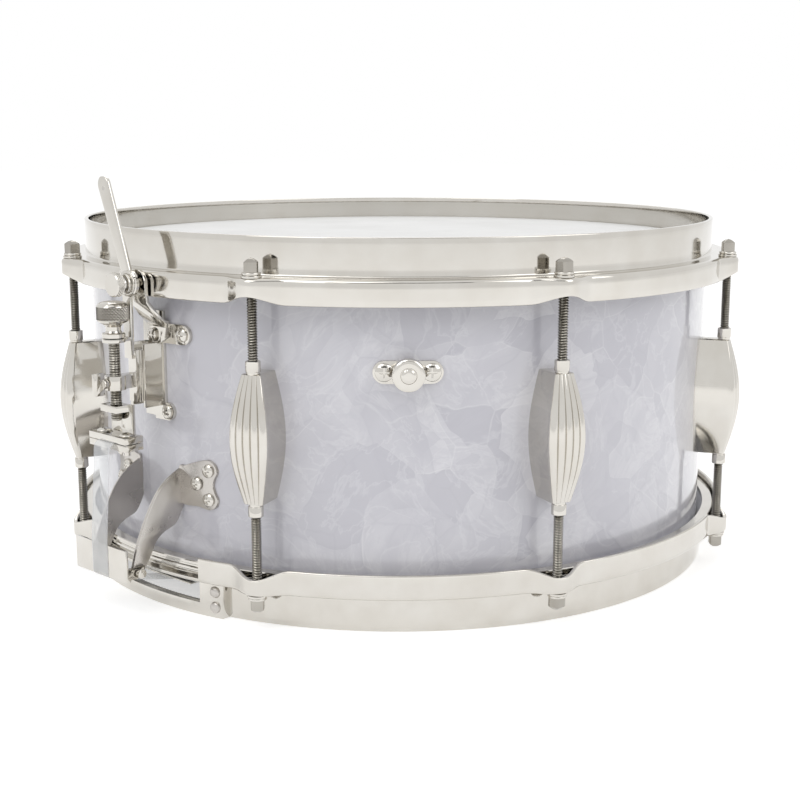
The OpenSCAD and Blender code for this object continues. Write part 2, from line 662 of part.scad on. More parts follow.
// Butt plate: shell plate, two cheeks and a ledge that is the upper clamp plate
module butt_plate() {
    z = butt_clamp_z;
    color(NICKEL) at(180) difference() {
        union() {
            intersection() {
                band(r, r + base_t, 0, top_z);
                out_plate(-10, 10) union() {
                    translate([-9, 76 + sz]) square([18, 34]);
                    translate([0, 110 + sz]) circle(r = 9, $fn = 48);
                    translate([0, 76 + sz]) circle(r = 9, $fn = 48);
                }
            }
            out_box(-9, 9, 0.6, clamp_u0 + 1, z + strap_t / 2, z + strap_t / 2 + clamp_t);
            for (m = [-1, 1]) side_plate(m * 8 - 0.9, m * 8 + 0.9) polygon([
                [0.4, z + 2], [clamp_u0 - 1, z + 2], [8, z + 12], [0.4, z + 18]
            ]);
            out_box(-clamp_half, clamp_half, clamp_u0, clamp_u1, z + strap_t / 2,
                z + strap_t / 2 + clamp_t);
        }
        cylinder(h = top_z, r = r, $fn = 180);
        round_rods(butt_screw_at, -3, 12, 1.9);
        for (m = [-1, 1]) translate([m * clamp_screw_s, -r - 27, z - 1]) cylinder(h = 9, r = 1.9, $fn = 32);
    }
}
module butt_clamp() { color(NICKEL) at(180) clamp_plate(butt_clamp_z); }
module butt_screws() {
    color(STEEL) at(180) {
        clamp_screw_pair(butt_clamp_z);
        for (p = butt_screw_at) dome(p[0], p[1], base_t, 3.4, 2.2);
        round_rods(butt_screw_at, inner_r - r - 3, base_t, 1.8);
    }
}

// Tone control: oblong plate with two screws that run through the shell to the muffler bracket
module tone_plate() {
    color(NICKEL) at(tone_a) {
        difference() {
            intersection() {
                band(r, r + base_t, 0, top_z);
                out_plate(-10, 10) union() {
                    square_w = 2 * tone_screw_s;
                    translate([-tone_screw_s, tone_z - 5.5]) square([square_w, 11]);
                    for (m = [-1, 1]) translate([m * tone_screw_s, tone_z]) circle(r = 5.5, $fn = 48);
                }
            }
            out_rod(0, tone_z, -5, 5, 3.2);
            for (m = [-1, 1]) out_rod(m * tone_screw_s, tone_z, -5, 5, 1.9);
        }
        for (m = [-1, 1]) {
            dome(m * tone_screw_s, tone_z, 1.5, 4.4, 2.2);
            out_rod(m * tone_screw_s, tone_z, inner_r - r - 5, 1.6, 1.8);
        }
    }
}
// Tone knob on its shaft, with a cam inside that lifts the muffler arm
module tone_knob() {
    color(NICKEL) at(tone_a) {
        out_rod(0, tone_z, inner_r - r - 5, 5, 3.1);
        out_rod(0, tone_z, 4.2, 12, 7.9);
        out_rod(0, tone_z, 11.8, 12.6, 3.5);
    }
}
// Bracket inside the shell that carries the muffler arm's pin
module muffler_bracket() {
    color(STEEL) at(tone_a) difference() {
        union() {
            out_box(-17, 17, inner_r - r - 4.6, inner_r - r - 2.6, tone_z - 6, tone_z + 6);
            for (m = [-1, 1])
                out_box(m * 16 - 1, m * 16 + 1, muffler_pivot_r - r - 4, inner_r - r - 2.6, tone_z - 4,
                    tone_z + 4);
            translate([-17, -muffler_pivot_r, tone_z]) rotate([0, 90, 0])
                cylinder(h = 34, r = 1.5, $fn = 32);
        }
        out_rod(0, tone_z, inner_r - r - 7, 0, 3.1 + fit_gap);
        for (m = [-1, 1]) out_rod(m * tone_screw_s, tone_z, inner_r - r - 7, 0, 1.8 + fit_gap);
    }
}
// Sprung arm: sleeve on the pin, upright strip, and a tray under the felt
module muffler_arm() {
    tray_z = edge_z1 - 22;
    color(STEEL) at(tone_a) difference() {
        union() {
            translate([-8, -muffler_pivot_r, tone_z]) rotate([0, 90, 0]) cylinder(h = 16, r = 3, $fn = 48);
            out_box(-6, 6, muffler_pivot_r - r - 3, muffler_pivot_r - r - 1.8, tone_z, tray_z + 1.2);
            out_box(-6, 6, muffler_pivot_r - r - 30, muffler_pivot_r - r - 1.8, tray_z, tray_z + 1.2);
            translate([0, -muffler_pivot_r + 34, tray_z]) cylinder(h = 1.2, r = 14);
        }
        translate([-9, -muffler_pivot_r, tone_z]) rotate([0, 90, 0])
            cylinder(h = 18, r = 1.5 + fit_gap, $fn = 32);
    }
}
module muffler_pad() {
    color("DarkGray") at(tone_a) translate([0, -muffler_pivot_r + 34, edge_z1 - 20.8])
        cylinder(h = 14, r = 16);
}

shell();
pearl_wrap();
reinforcement_rings();
batter_head();
snare_head();
batter_flesh_hoop();
snare_flesh_hoop();
top_hoop();
bottom_hoop();
lugs();
swivel_nuts();
lug_screws();
rod_washers();
top_rod(1);  // top_rod_1
top_rod(2);  // top_rod_2
top_rod(3);  // top_rod_3
top_rod(4);  // top_rod_4
top_rod(5);  // top_rod_5
top_rod(6);  // top_rod_6
top_rod(7);  // top_rod_7
top_rod(8);  // top_rod_8
bottom_rod(1);  // bottom_rod_1
bottom_rod(2);  // bottom_rod_2
bottom_rod(3);  // bottom_rod_3
bottom_rod(4);  // bottom_rod_4
bottom_rod(5);  // bottom_rod_5
bottom_rod(6);  // bottom_rod_6
bottom_rod(7);  // bottom_rod_7
bottom_rod(8);  // bottom_rod_8
air_vent();
snare_wires();
snare_end_plates();
bridge_arms();
arm_screws();
strainer_bridge();
butt_bridge();
snare_guards();
guard_rivets();
strainer_base();
strainer_screws();
pivot_bolt();
pivot_washers();
throw_off_lever();
pivot_cap();
slider();
tension_knob();
wing_screw();
carriage();
strainer_clamp();
clamp_screws();
strainer_strap();
butt_plate();
butt_clamp();
butt_screws();
butt_strap();
tone_plate();
tone_knob();
muffler_bracket();
muffler_arm();
muffler_pad();
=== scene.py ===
import json

import bmesh
import bpy
import numpy as np
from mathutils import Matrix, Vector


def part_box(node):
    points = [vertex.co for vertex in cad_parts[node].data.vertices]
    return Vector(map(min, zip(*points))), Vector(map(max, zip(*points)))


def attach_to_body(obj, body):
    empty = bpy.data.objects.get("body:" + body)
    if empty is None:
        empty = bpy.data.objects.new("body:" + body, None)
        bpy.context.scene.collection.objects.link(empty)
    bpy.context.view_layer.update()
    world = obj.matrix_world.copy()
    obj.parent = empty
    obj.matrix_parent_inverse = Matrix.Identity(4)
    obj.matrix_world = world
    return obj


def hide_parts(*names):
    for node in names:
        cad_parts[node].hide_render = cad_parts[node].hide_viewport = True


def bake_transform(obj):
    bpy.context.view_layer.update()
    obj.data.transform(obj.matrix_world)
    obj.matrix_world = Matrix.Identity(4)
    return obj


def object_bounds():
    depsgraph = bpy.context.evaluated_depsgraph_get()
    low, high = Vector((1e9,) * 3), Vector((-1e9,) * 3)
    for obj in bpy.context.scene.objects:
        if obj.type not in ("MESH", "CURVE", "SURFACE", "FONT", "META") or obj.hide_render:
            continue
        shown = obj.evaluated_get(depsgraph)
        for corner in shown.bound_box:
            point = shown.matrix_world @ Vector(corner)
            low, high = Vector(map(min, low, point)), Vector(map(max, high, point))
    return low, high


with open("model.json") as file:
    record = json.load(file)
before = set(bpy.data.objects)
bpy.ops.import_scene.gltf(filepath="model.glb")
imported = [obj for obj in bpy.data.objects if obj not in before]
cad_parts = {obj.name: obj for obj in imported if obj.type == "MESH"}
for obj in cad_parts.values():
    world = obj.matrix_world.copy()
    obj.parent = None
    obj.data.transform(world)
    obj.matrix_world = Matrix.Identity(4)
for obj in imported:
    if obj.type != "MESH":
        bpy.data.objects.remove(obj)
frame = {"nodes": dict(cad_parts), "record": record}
cad_low, cad_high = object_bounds()
nodes = frame["nodes"]
body_of_node = {n: b for b, ns in frame["record"]["behaviour"]["bodies"].items() for n in ns}
mm = 0.001

# ---------------------------------------------------------------- camera
# The drum stands on its hoop and is seen a little from above, with the strainer to the left.
camera_data = bpy.data.cameras.new("camera")
camera_data.sensor_width = 36.0
camera_data.lens = 63.6
camera_data.shift_y = 0.0074
camera = bpy.data.objects.new("camera", camera_data)
camera.location = (0.5759, -0.6053, 0.2438)
camera.rotation_euler = np.radians([78.68, 0.0, 43.52])
bpy.context.scene.collection.objects.link(camera)
bpy.context.scene.camera = camera
bpy.context.scene.view_settings.view_transform = "Standard"

# ---------------------------------------------------------------- floor, lights and studio
# A white sweep under soft boxes, with dark cards that only polished metal sees, as in a product studio.


def new_material(name):
    """An empty node material; returns it with its node tree and its shader."""
    material = bpy.data.materials.new(name)
    material.use_nodes = True
    return material, material.node_tree, material.node_tree.nodes["Principled BSDF"]


def add_object(name, mesh):
    """Links a mesh into the scene as an object at the origin."""
    thing = bpy.data.objects.new(name, mesh)
    bpy.context.scene.collection.objects.link(thing)
    return thing


def area_light(name, place, aim, size, power):
    """A square soft box of that size at place, turned to shine at aim."""
    data = bpy.data.lights.new(name, "AREA")
    data.size = size
    data.energy = power
    lamp = bpy.data.objects.new(name, data)
    bpy.context.scene.collection.objects.link(lamp)
    lamp.location = place
    lamp.rotation_euler = (Vector(aim) - Vector(place)).to_track_quat("-Z", "Y").to_euler()
    return lamp


def flat_card(name, place, aim, width, height, material):
    """A flat card of that width and height at place, facing aim."""
    x, y = width / 2, height / 2
    mesh = bpy.data.meshes.new(name)
    mesh.from_pydata([(-x, -y, 0), (x, -y, 0), (x, y, 0), (-x, y, 0)], [], [(0, 1, 2, 3)])
    card = add_object(name, mesh)
    card.location = place
    card.rotation_euler = (Vector(aim) - Vector(place)).to_track_quat("Z", "Y").to_euler()
    mesh.materials.append(material)
    return card


floor_material, tree, shader = new_material("floor_white")
shader.inputs["Base Color"].default_value = (0.86, 0.86, 0.86, 1)
shader.inputs["Roughness"].default_value = 0.9
shader.inputs["Specular IOR Level"].default_value = 0.0
shader.inputs["Emission Color"].default_value = (1, 1, 1, 1)
paths = tree.nodes.new("ShaderNodeLightPath")
seen = tree.nodes.new("ShaderNodeMath")
seen.operation = "MAXIMUM"
tree.links.new(paths.outputs["Is Camera Ray"], seen.inputs[0])
tree.links.new(paths.outputs["Is Glossy Ray"], seen.inputs[1])
glow = tree.nodes.new("ShaderNodeMath")
glow.operation = "MULTIPLY"
glow.inputs[1].default_value = 0.50
tree.links.new(seen.outputs[0], glow.inputs[0])
tree.links.new(glow.outputs[0], shader.inputs["Emission Strength"])
floor = flat_card("floor", (0, 0, cad_low[2]), (0, 0, 1), 12.0, 12.0, floor_material)

world = bpy.data.worlds.new("studio")
bpy.context.scene.world = world
world.use_nodes = True
tree = world.node_tree
background = tree.nodes["Background"]
paths = tree.nodes.new("ShaderNodeLightPath")
seen = tree.nodes.new("ShaderNodeMath")
seen.operation = "MAXIMUM"
tree.links.new(paths.outputs["Is Camera Ray"], seen.inputs[0])
tree.links.new(paths.outputs["Is Glossy Ray"], seen.inputs[1])
seen_too = tree.nodes.new("ShaderNodeMath")
seen_too.operation = "MAXIMUM"
tree.links.new(seen.outputs[0], seen_too.inputs[0])
tree.links.new(paths.outputs["Is Transmission Ray"], seen_too.inputs[1])
strength = tree.nodes.new("ShaderNodeMapRange")
strength.inputs["To Min"].default_value = 0.62
strength.inputs["To Max"].default_value = 1.0
tree.links.new(seen_too.outputs[0], strength.inputs["Value"])
tree.links.new(strength.outputs["Result"], background.inputs["Strength"])
background.inputs["Color"].default_value = (1, 1, 1, 1)

middle = (0, 0, 0.09)
lamps = [
    area_light("key", (0.2, -1.5, 1.7), middle, 1.4, 11),
    area_light("side", (1.7, 0.3, 1.3), middle, 1.2, 7),
    area_light("back", (-1.2, 1.2, 1.8), middle, 1.4, 7),
]
dark_material, tree, shader = new_material("studio_dark")
shader.inputs["Base Color"].default_value = (0.02, 0.018, 0.014, 1)
cards = [
    flat_card("card_above", (0.95, -1.0, 1.15), middle, 1.3, 0.34, dark_material),
]
for card in cards:
    card.visible_camera = False
    card.visible_diffuse = False
    card.visible_shadow = False
    card.visible_transmission = False

# ---------------------------------------------------------------- shell and its pearl wrap
# Bent plywood under a sheet of pearl plastic: swirled white flakes with lavender-grey shade,
# under a clear gloss. The wrap is glued on, and the hoops cover its edges.


def surface(name, points, material, around=False, along=False, ends=False):
    """A mesh through a grid of points, rows by columns. around closes each row on itself, along
    joins the last row to the first, and ends closes the first and last rows with a fan."""
    rows, columns = points.shape[:2]
    index = np.arange(rows * columns).reshape(rows, columns)
    if around:
        index = np.concatenate([index, index[:, :1]], axis=1)
    if along:
        index = np.concatenate([index, index[:1]], axis=0)
    quads = np.stack([index[:-1, :-1], index[:-1, 1:], index[1:, 1:], index[1:, :-1]], -1).reshape(-1, 4)
    places = points.reshape(-1, 3)
    faces = quads.tolist()
    if ends:
        places = np.concatenate([places, points[:1].mean(1), points[-1:].mean(1)])
        first, last = index[0], index[-1]
        low, high = rows * columns, rows * columns + 1
        faces += np.stack([first[1:], first[:-1], np.full(len(first) - 1, low)], 1).tolist()
        faces += np.stack([last[:-1], last[1:], np.full(len(last) - 1, high)], 1).tolist()
    mesh = bpy.data.meshes.new(name)
    mesh.from_pydata(places.tolist(), [], faces)
    mesh.materials.append(material)
    piece = add_object(name, mesh)
    outward(piece)
    return piece


def outward(piece, smooth=True, angle=38.0):
    """Merges doubles, turns every face outwards and shades smooth up to a crease angle in degrees."""
    shape = bmesh.new()
    shape.from_mesh(piece.data)
    bmesh.ops.remove_doubles(shape, verts=shape.verts, dist=1e-6)
    bmesh.ops.recalc_face_normals(shape, faces=shape.faces)
    shape.to_mesh(piece.data)
    shape.free()
    if smooth:
        piece.data.shade_smooth()
        piece.data.set_sharp_from_angle(angle=np.radians(angle))


def turned(name, profile, material, steps=256, centre=(0.0, 0.0)):
    """A closed profile of (radius, height) pairs turned about an upright axis at centre."""
    profile = np.asarray(profile, float)
    angle = np.linspace(0, 2 * np.pi, steps, endpoint=False)
    points = np.stack([
        centre[0] + profile[:, None, 0] * np.cos(angle),
        centre[1] + profile[:, None, 0] * np.sin(angle),
        np.repeat(profile[:, None, 1], steps, axis=1),
    ], -1)
    return surface(name, points, material, around=True, along=True)


def attach(piece, node):
    """The piece rides on the node's body and stands for the node, whose CAD part is hidden."""
    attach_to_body(piece, body_of_node[node])
    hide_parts(node)
    return piece


def mix_colours(tree, factor, low, high):
    """A node that goes from colour low to colour high with factor, a socket."""
    node = tree.nodes.new("ShaderNodeMix")
    node.data_type = "RGBA"
    tree.links.new(factor, node.inputs["Factor"])
    for socket, value in ((node.inputs["A"], low), (node.inputs["B"], high)):
        if isinstance(value, tuple):
            socket.default_value = (*value, 1)
        else:
            tree.links.new(value, socket)
    return node.outputs["Result"]


def noise(tree, where, scale, detail=3.0, rough=0.5, distortion=0.0):
    """A noise texture read at where, a vector socket."""
    node = tree.nodes.new("ShaderNodeTexNoise")
    node.inputs["Scale"].default_value = scale
    node.inputs["Detail"].default_value = detail
    node.inputs["Roughness"].default_value = rough
    node.inputs["Distortion"].default_value = distortion
    tree.links.new(where, node.inputs["Vector"])
    return node


def ramp(tree, value, stops):
    """A grey ramp through (position, level) stops."""
    node = tree.nodes.new("ShaderNodeValToRGB")
    line = node.color_ramp
    line.elements[0].position, line.elements[-1].position = stops[0][0], stops[-1][0]
    for position, _ in stops[1:-1]:
        line.elements.new(position)
    for element, (_, level) in zip(line.elements, stops):
        element.color = (level, level, level, 1)
    tree.links.new(value, node.inputs["Fac"])
    return node.outputs["Color"]


def object_place(tree):
    """The Object coordinates of the surface."""
    return tree.nodes.new("ShaderNodeTexCoord").outputs["Object"]


def shifted(tree, where, push, amount):
    """where moved by a noise colour, centred on zero, times amount."""
    centred = tree.nodes.new("ShaderNodeVectorMath")
    centred.operation = "SUBTRACT"
    centred.inputs[1].default_value = (0.5, 0.5, 0.5)
    tree.links.new(push, centred.inputs[0])
    scaled = tree.nodes.new("ShaderNodeVectorMath")
    scaled.operation = "SCALE"
    scaled.inputs["Scale"].default_value = amount
    tree.links.new(centred.outputs[0], scaled.inputs[0])
    added = tree.nodes.new("ShaderNodeVectorMath")
    added.operation = "ADD"
    tree.links.new(where, added.inputs[0])
    tree.links.new(scaled.outputs[0], added.inputs[1])
    return added.outputs[0]


pearl, tree, shader = new_material("pearl")
where = object_place(tree)
swirl = shifted(tree, where, noise(tree, where, 10.0, 2.0).outputs["Color"], 0.055)
swirl = shifted(tree, swirl, noise(tree, swirl, 55.0, 2.0).outputs["Color"], 0.007)


def crumple(scale, feature):
    """Voronoi cells of that scale, read where the film is swirled."""
    cells = tree.nodes.new("ShaderNodeTexVoronoi")
    cells.feature = feature
    cells.inputs["Scale"].default_value = scale
    tree.links.new(swirl, cells.inputs["Vector"])
    return cells


def product(a, b):
    """The product of two value sockets."""
    node = tree.nodes.new("ShaderNodeMath")
    node.operation = "MULTIPLY"
    tree.links.new(a, node.inputs[0])
    tree.links.new(b, node.inputs[1])
    return node.outputs[0]


shade = mix_colours(tree, ramp(tree, crumple(19.0, "F1").outputs["Color"], [(0.2, 0.0), (0.8, 1.0)]),
                    (0.56, 0.555, 0.61), (0.72, 0.715, 0.76))
patches = ((33.0, 0.5, (0.80, 0.795, 0.83)), (58.0, 0.42, (0.57, 0.565, 0.62)))
for scale, most, colour in patches:
    level = ramp(tree, crumple(scale, "F1").outputs["Color"], [(0.45, 0.0), (0.75, most)])
    fade = ramp(tree, crumple(scale, "F1").outputs["Distance"], [(0.05, 0.1), (0.6, 1.0)])
    shade = mix_colours(tree, product(level, fade), shade, colour)
lines = ((19.0, (0.0, 0.012, 0.03), 0.35, (0.52, 0.515, 0.57)), (33.0, (0.0, 0.004, 0.016), 0.3, (0.90, 0.90, 0.92)),
         (58.0, (0.0, 0.01, 0.05), 0.3, (0.53, 0.525, 0.58)))
for k, (scale, stops, most, colour) in enumerate(lines):
    crease = ramp(tree, crumple(scale, "DISTANCE_TO_EDGE").outputs["Distance"],
                  [(stops[0], most), (stops[1], most), (stops[2], 0.0)])
    patchy = ramp(tree, noise(tree, swirl, 16.0 + 7.0 * k, 2.0).outputs["Fac"], [(0.42, 0.0), (0.62, 1.0)])
    shade = mix_colours(tree, product(crease, patchy), shade, colour)
folds = noise(tree, swirl, 22.0, 6.0, 0.62, 1.6)
shade = mix_colours(tree, ramp(tree, folds.outputs["Fac"], [(0.36, 0.55), (0.47, 0.0), (0.50, 0.4), (0.56, 0.0)]),
                    shade, (0.60, 0.595, 0.65))
wisps = noise(tree, swirl, 30.0, 5.0, 0.6, 0.8)
shade = mix_colours(tree, ramp(tree, wisps.outputs["Fac"], [(0.47, 0.0), (0.50, 0.32), (0.515, 0.0)]),
                    shade, (0.80, 0.80, 0.835))
tree.links.new(shade, shader.inputs["Base Color"])
shader.inputs["Roughness"].default_value = 0.32
shader.inputs["Coat Weight"].default_value = 1.0
shader.inputs["Coat Roughness"].default_value = 0.04
wrap_low, wrap_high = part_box("pearl_wrap")
shell_r = wrap_high[1]
wrap_t = 0.5 * mm
wrap = turned("pearl_wrap_sheet", [
    (shell_r - wrap_t, wrap_low[2]), (shell_r, wrap_low[2]),
    (shell_r, wrap_high[2]), (shell_r - wrap_t, wrap_high[2]),
], pearl, steps=360)
attach(wrap, "pearl_wrap")

plywood, tree, shader = new_material("plywood")
where = object_place(tree)
stretch = tree.nodes.new("ShaderNodeMapping")
stretch.inputs["Scale"].default_value = (60.0, 60.0, 900.0)
tree.links.new(where, stretch.inputs["Vector"])
grain = noise(tree, stretch.outputs["Vector"], 1.0, 3.0, 0.6)
wood = mix_colours(tree, ramp(tree, grain.outputs["Fac"], [(0.3, 0.0), (0.7, 1.0)]),
                   (0.42, 0.27, 0.15), (0.62, 0.45, 0.28))
tree.links.new(wood, shader.inputs["Base Color"])
shader.inputs["Roughness"].default_value = 0.45
for node in ("shell", "reinforcement_rings"):
    nodes[node].data.materials.clear()
    nodes[node].data.materials.append(plywood)

# ---------------------------------------------------------------- heads
# Polyester film: the batter head is sprayed with a white coat, the snare head is thin and hazy.
# Each is stretched over the bearing edge and gripped in its flesh hoop.
coated, tree, shader = new_material("coated_film")
where = object_place(tree)
spray = noise(tree, where, 900.0, 4.0, 0.7)
tone = mix_colours(tree, ramp(tree, noise(tree, where, 25.0).outputs["Fac"], [(0.3, 0.0), (0.7, 1.0)]),
                   (0.80, 0.80, 0.79), (0.86, 0.86, 0.855))
tree.links.new(tone, shader.inputs["Base Color"])
shader.inputs["Roughness"].default_value = 0.62
bump = tree.nodes.new("ShaderNodeBump")
bump.inputs["Strength"].default_value = 0.12
bump.inputs["Distance"].default_value = 0.0002
tree.links.new(spray.outputs["Fac"], bump.inputs["Height"])
tree.links.new(bump.outputs["Normal"], shader.inputs["Normal"])

hazy, tree, shader = new_material("hazy_film")
where = object_place(tree)
haze = mix_colours(tree, ramp(tree, noise(tree, where, 40.0).outputs["Fac"], [(0.3, 0.0), (0.7, 1.0)]),
                   (0.74, 0.75, 0.76), (0.82, 0.83, 0.84))
tree.links.new(haze, shader.inputs["Base Color"])
shader.inputs["Roughness"].default_value = 0.22

hoop_low, hoop_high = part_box("top_hoop")
top_z = hoop_high[2]
hoop_t = 2.3 * mm
rim_h = 21.1 * mm
shelf_low = top_z - rim_h
shelf_high = shelf_low + hoop_t
film_t = 0.3 * mm
head_low, head_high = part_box("batter_head")
flesh_low, flesh_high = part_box("batter_flesh_hoop")
edge_z = head_high[2] - film_t
ply_r = shell_r - wrap_t
wall_r0 = ply_r + 0.7 * mm
wall_r1 = wall_r0 + hoop_t
collar_r1 = hoop_high[1]


def upside_down(profile):
    """The same profile measured down from the top, for the bottom of the drum."""
    profile = np.asarray(profile, float)
    return np.stack([profile[:, 0], top_z - profile[:, 1]], 1)


def head_profile():
    """Film from the middle out over the bearing edge, down, and out to the flesh hoop; then back."""
    turn = np.radians(np.linspace(90, 0, 7))
    ease = 1.4 * mm
    corner_r, corner_z = ply_r + 0.05 * mm - ease, edge_z - ease
    inside = [(0.001 * mm, edge_z), (corner_r - 2 * mm, edge_z)]
    inside += [(corner_r + ease * np.cos(a), corner_z + ease * np.sin(a)) for a in turn]
    inside += [(corner_r + ease, shelf_low), (wall_r0 + 3 * mm, shelf_low - 4.6 * mm)]
    outside = [(r + film_t * (0.7 if r > 0.01 else 0), z + film_t) for r, z in inside]
    return inside + outside[::-1]


batter = turned("batter_head_film", head_profile(), coated, steps=256)
attach(batter, "batter_head")
snare_film = turned("snare_head_film", upside_down(head_profile()), hazy, steps=256)
attach(snare_film, "snare_head")

# ---------------------------------------------------------------- nickel plate and steel
# Hoops, lugs and fittings are brass or steel with bright nickel plate; rods and small screws are
# plated darker, and the roots of their threads are painted near black as painted shade.


def maths(tree, operation, a, b):
    """A math node on two values, each a socket or a number."""
    node = tree.nodes.new("ShaderNodeMath")
    node.operation = operation
    for socket, value in zip(node.inputs, (a, b)):
        if isinstance(value, (int, float)):
            socket.default_value = value
        else:
            tree.links.new(value, socket)
    return node.outputs[0]


def thread_relief(pitch):
    """Relief that is zero in each thread root and one on each crest, up the height of a screw."""
    def relief(tree, where):
        axes = tree.nodes.new("ShaderNodeSeparateXYZ")
        tree.links.new(where, axes.inputs[0])
        wave = maths(tree, "PINGPONG", maths(tree, "DIVIDE", axes.outputs["Z"], pitch), 0.5)
        return ramp(tree, wave, [(0.08, 0.0), (0.30, 1.0)])
    return relief


def knurl_relief(x, y, teeth, step):
    """Relief of a diamond knurl about an upright axis at x, y: the lesser of two waves that wind
    opposite ways, zero in the grooves."""
    def relief(tree, where):
        axes = tree.nodes.new("ShaderNodeSeparateXYZ")
        tree.links.new(where, axes.inputs[0])
        turn = maths(tree, "ARCTAN2", maths(tree, "SUBTRACT", axes.outputs["Y"], y),
                     maths(tree, "SUBTRACT", axes.outputs["X"], x))
        across = maths(tree, "MULTIPLY", turn, teeth / (2 * np.pi))
        along = maths(tree, "DIVIDE", axes.outputs["Z"], step)
        one = maths(tree, "PINGPONG", maths(tree, "ADD", across, along), 0.5)
        two = maths(tree, "PINGPONG", maths(tree, "SUBTRACT", across, along), 0.5)
        return ramp(tree, maths(tree, "MINIMUM", one, two), [(0.05, 0.0), (0.20, 1.0)])
    return relief


def metal(name, dark, light, low_rough, high_rough, scratch=0.02, relief=None):
    """Plated metal: slow changes of colour and gloss, fine scratches in a bump. Where its relief is
    low, the colour is painted near black: painted shade in thread roots and knurl grooves."""
    material, tree, shader = new_material(name)
    where = object_place(tree)
    slow = noise(tree, where, 60.0, 3.0)
    fine = noise(tree, where, 1400.0, 2.0)
    colour = mix_colours(tree, ramp(tree, slow.outputs["Fac"], [(0.3, 0.0), (0.7, 1.0)]), dark, light)
    if relief:
        # painted shade: near black where the relief is low, in thread roots and knurl grooves
        colour = mix_colours(tree, relief(tree, where), (0.05, 0.045, 0.035), colour)
    tree.links.new(colour, shader.inputs["Base Color"])
    shader.inputs["Metallic"].default_value = 1.0
    gloss = tree.nodes.new("ShaderNodeMapRange")
    gloss.inputs["From Min"].default_value = 0.3
    gloss.inputs["From Max"].default_value = 0.7
    gloss.inputs["To Min"].default_value = low_rough
    gloss.inputs["To Max"].default_value = high_rough
    tree.links.new(slow.outputs["Fac"], gloss.inputs["Value"])
    tree.links.new(gloss.outputs["Result"], shader.inputs["Roughness"])
    bump = tree.nodes.new("ShaderNodeBump")
    bump.inputs["Strength"].default_value = scratch
    bump.inputs["Distance"].default_value = 0.0001
    tree.links.new(fine.outputs["Fac"], bump.inputs["Height"])
    tree.links.new(bump.outputs["Normal"], shader.inputs["Normal"])
    return material


nickel = metal("nickel", (0.585, 0.56, 0.515), (0.635, 0.615, 0.575), 0.06, 0.12)
thread_pitch = 1.3 * mm
# rod steel with painted shade: its colour goes near black in each thread root
rod_steel = metal("rod_steel", (0.33, 0.31, 0.27), (0.43, 0.41, 0.37), 0.16, 0.26, 0.1,
                  thread_relief(thread_pitch))
head_steel = metal("head_steel", (0.33, 0.31, 0.28), (0.43, 0.41, 0.37), 0.1, 0.18, 0.04)
steel = metal("steel", (0.44, 0.42, 0.39), (0.56, 0.54, 0.51), 0.18, 0.28, 0.06)

# ---------------------------------------------------------------- flesh hoops
# Rolled metal channel with two grooves, crimped on the edge of each head.
groove = 0.8 * mm
flesh_r0, flesh_r1 = wall_r0 + 3 * mm, flesh_high[1]
flesh_profile = [
    (flesh_r0, flesh_low[2]), (flesh_r1 - 0.4 * mm, flesh_low[2]), (flesh_r1, flesh_low[2] + 0.4 * mm),
    (flesh_r1, flesh_low[2] + 1.6 * mm), (flesh_r1 - groove, flesh_low[2] + 2.2 * mm),
    (flesh_r1 - groove, flesh_low[2] + 3.0 * mm), (flesh_r1, flesh_low[2] + 3.6 * mm),
    (flesh_r1, flesh_low[2] + 4.6 * mm), (flesh_r1 - groove, flesh_low[2] + 5.2 * mm),
    (flesh_r1 - groove, flesh_low[2] + 5.9 * mm), (flesh_r1, flesh_low[2] + 6.5 * mm),
    (flesh_r1, flesh_high[2]), (flesh_r0, flesh_high[2]),
]
top_flesh = turned("batter_flesh_channel", flesh_profile, nickel, steps=360)
attach(top_flesh, "batter_flesh_hoop")
low_flesh = turned("snare_flesh_channel", upside_down(flesh_profile), nickel, steps=360)
attach(low_flesh, "snare_flesh_hoop")

# ---------------------------------------------------------------- hoops
# Each hoop is one pressed and rolled strip: a beaded upright rim, a shelf, and a collar that is
# bulged into eight ears where the rods pass. The bottom one has a gate at each end of the snares.
ear_half = 17 * mm
ear_bulge = 7 * mm
ear_lift = 4.2 * mm
lug_angles = np.radians(22.5 + 45 * np.arange(8))


def rounded(corners, radii, steps=5):
    """A closed outline with each corner replaced by an arc, as a spline through its tangent points."""
    corners = np.asarray(corners, float)
    out = []
    for i, radius in enumerate(radii):
        here, before, after = corners[i], corners[i - 1], corners[(i + 1) % len(corners)]
        a = (before - here) / np.linalg.norm(before - here)
        b = (after - here) / np.linalg.norm(after - here)
        half = np.arccos(np.clip(a @ b, -1, 1)) / 2
        reach = radius / np.tan(half)
        centre = here + (a + b) / np.linalg.norm(a + b) * radius / np.sin(half)
        start, stop = here + a * reach - centre, here + b * reach - centre
        t = np.linspace(0, 1, steps)[:, None]
        turn = np.pi - 2 * half
        arc = (np.sin((1 - t) * turn) * start + np.sin(t * turn) * stop) / np.sin(turn)
        out.append(centre + arc)
    return np.concatenate(out)


collar_low = shelf_high - 12.8 * mm
collar_r0 = collar_r1 - hoop_t
hoop_outline = rounded(
    [(wall_r0, shelf_low), (collar_r0, shelf_low), (collar_r0, collar_low), (collar_r1, collar_low),
     (collar_r1, shelf_high), (wall_r1, shelf_high), (wall_r1, top_z), (wall_r0, top_z)],
    [0.4 * mm, 1.2 * mm, 0.7 * mm, 0.7 * mm, 2.0 * mm, 1.0 * mm, 0.6 * mm, 0.5 * mm])


def split_long(outline, longest):
    """The closed outline with points added so that no side is longer than longest."""
    out = []
    for a, b in zip(outline, np.roll(outline, -1, axis=0)):
        count = max(1, int(np.ceil(np.linalg.norm(b - a) / longest)))
        out.append(a + (b - a) * (np.arange(count) / count)[:, None])
    return np.concatenate(out)


hoop_outline = split_long(hoop_outline, 3.2 * mm)


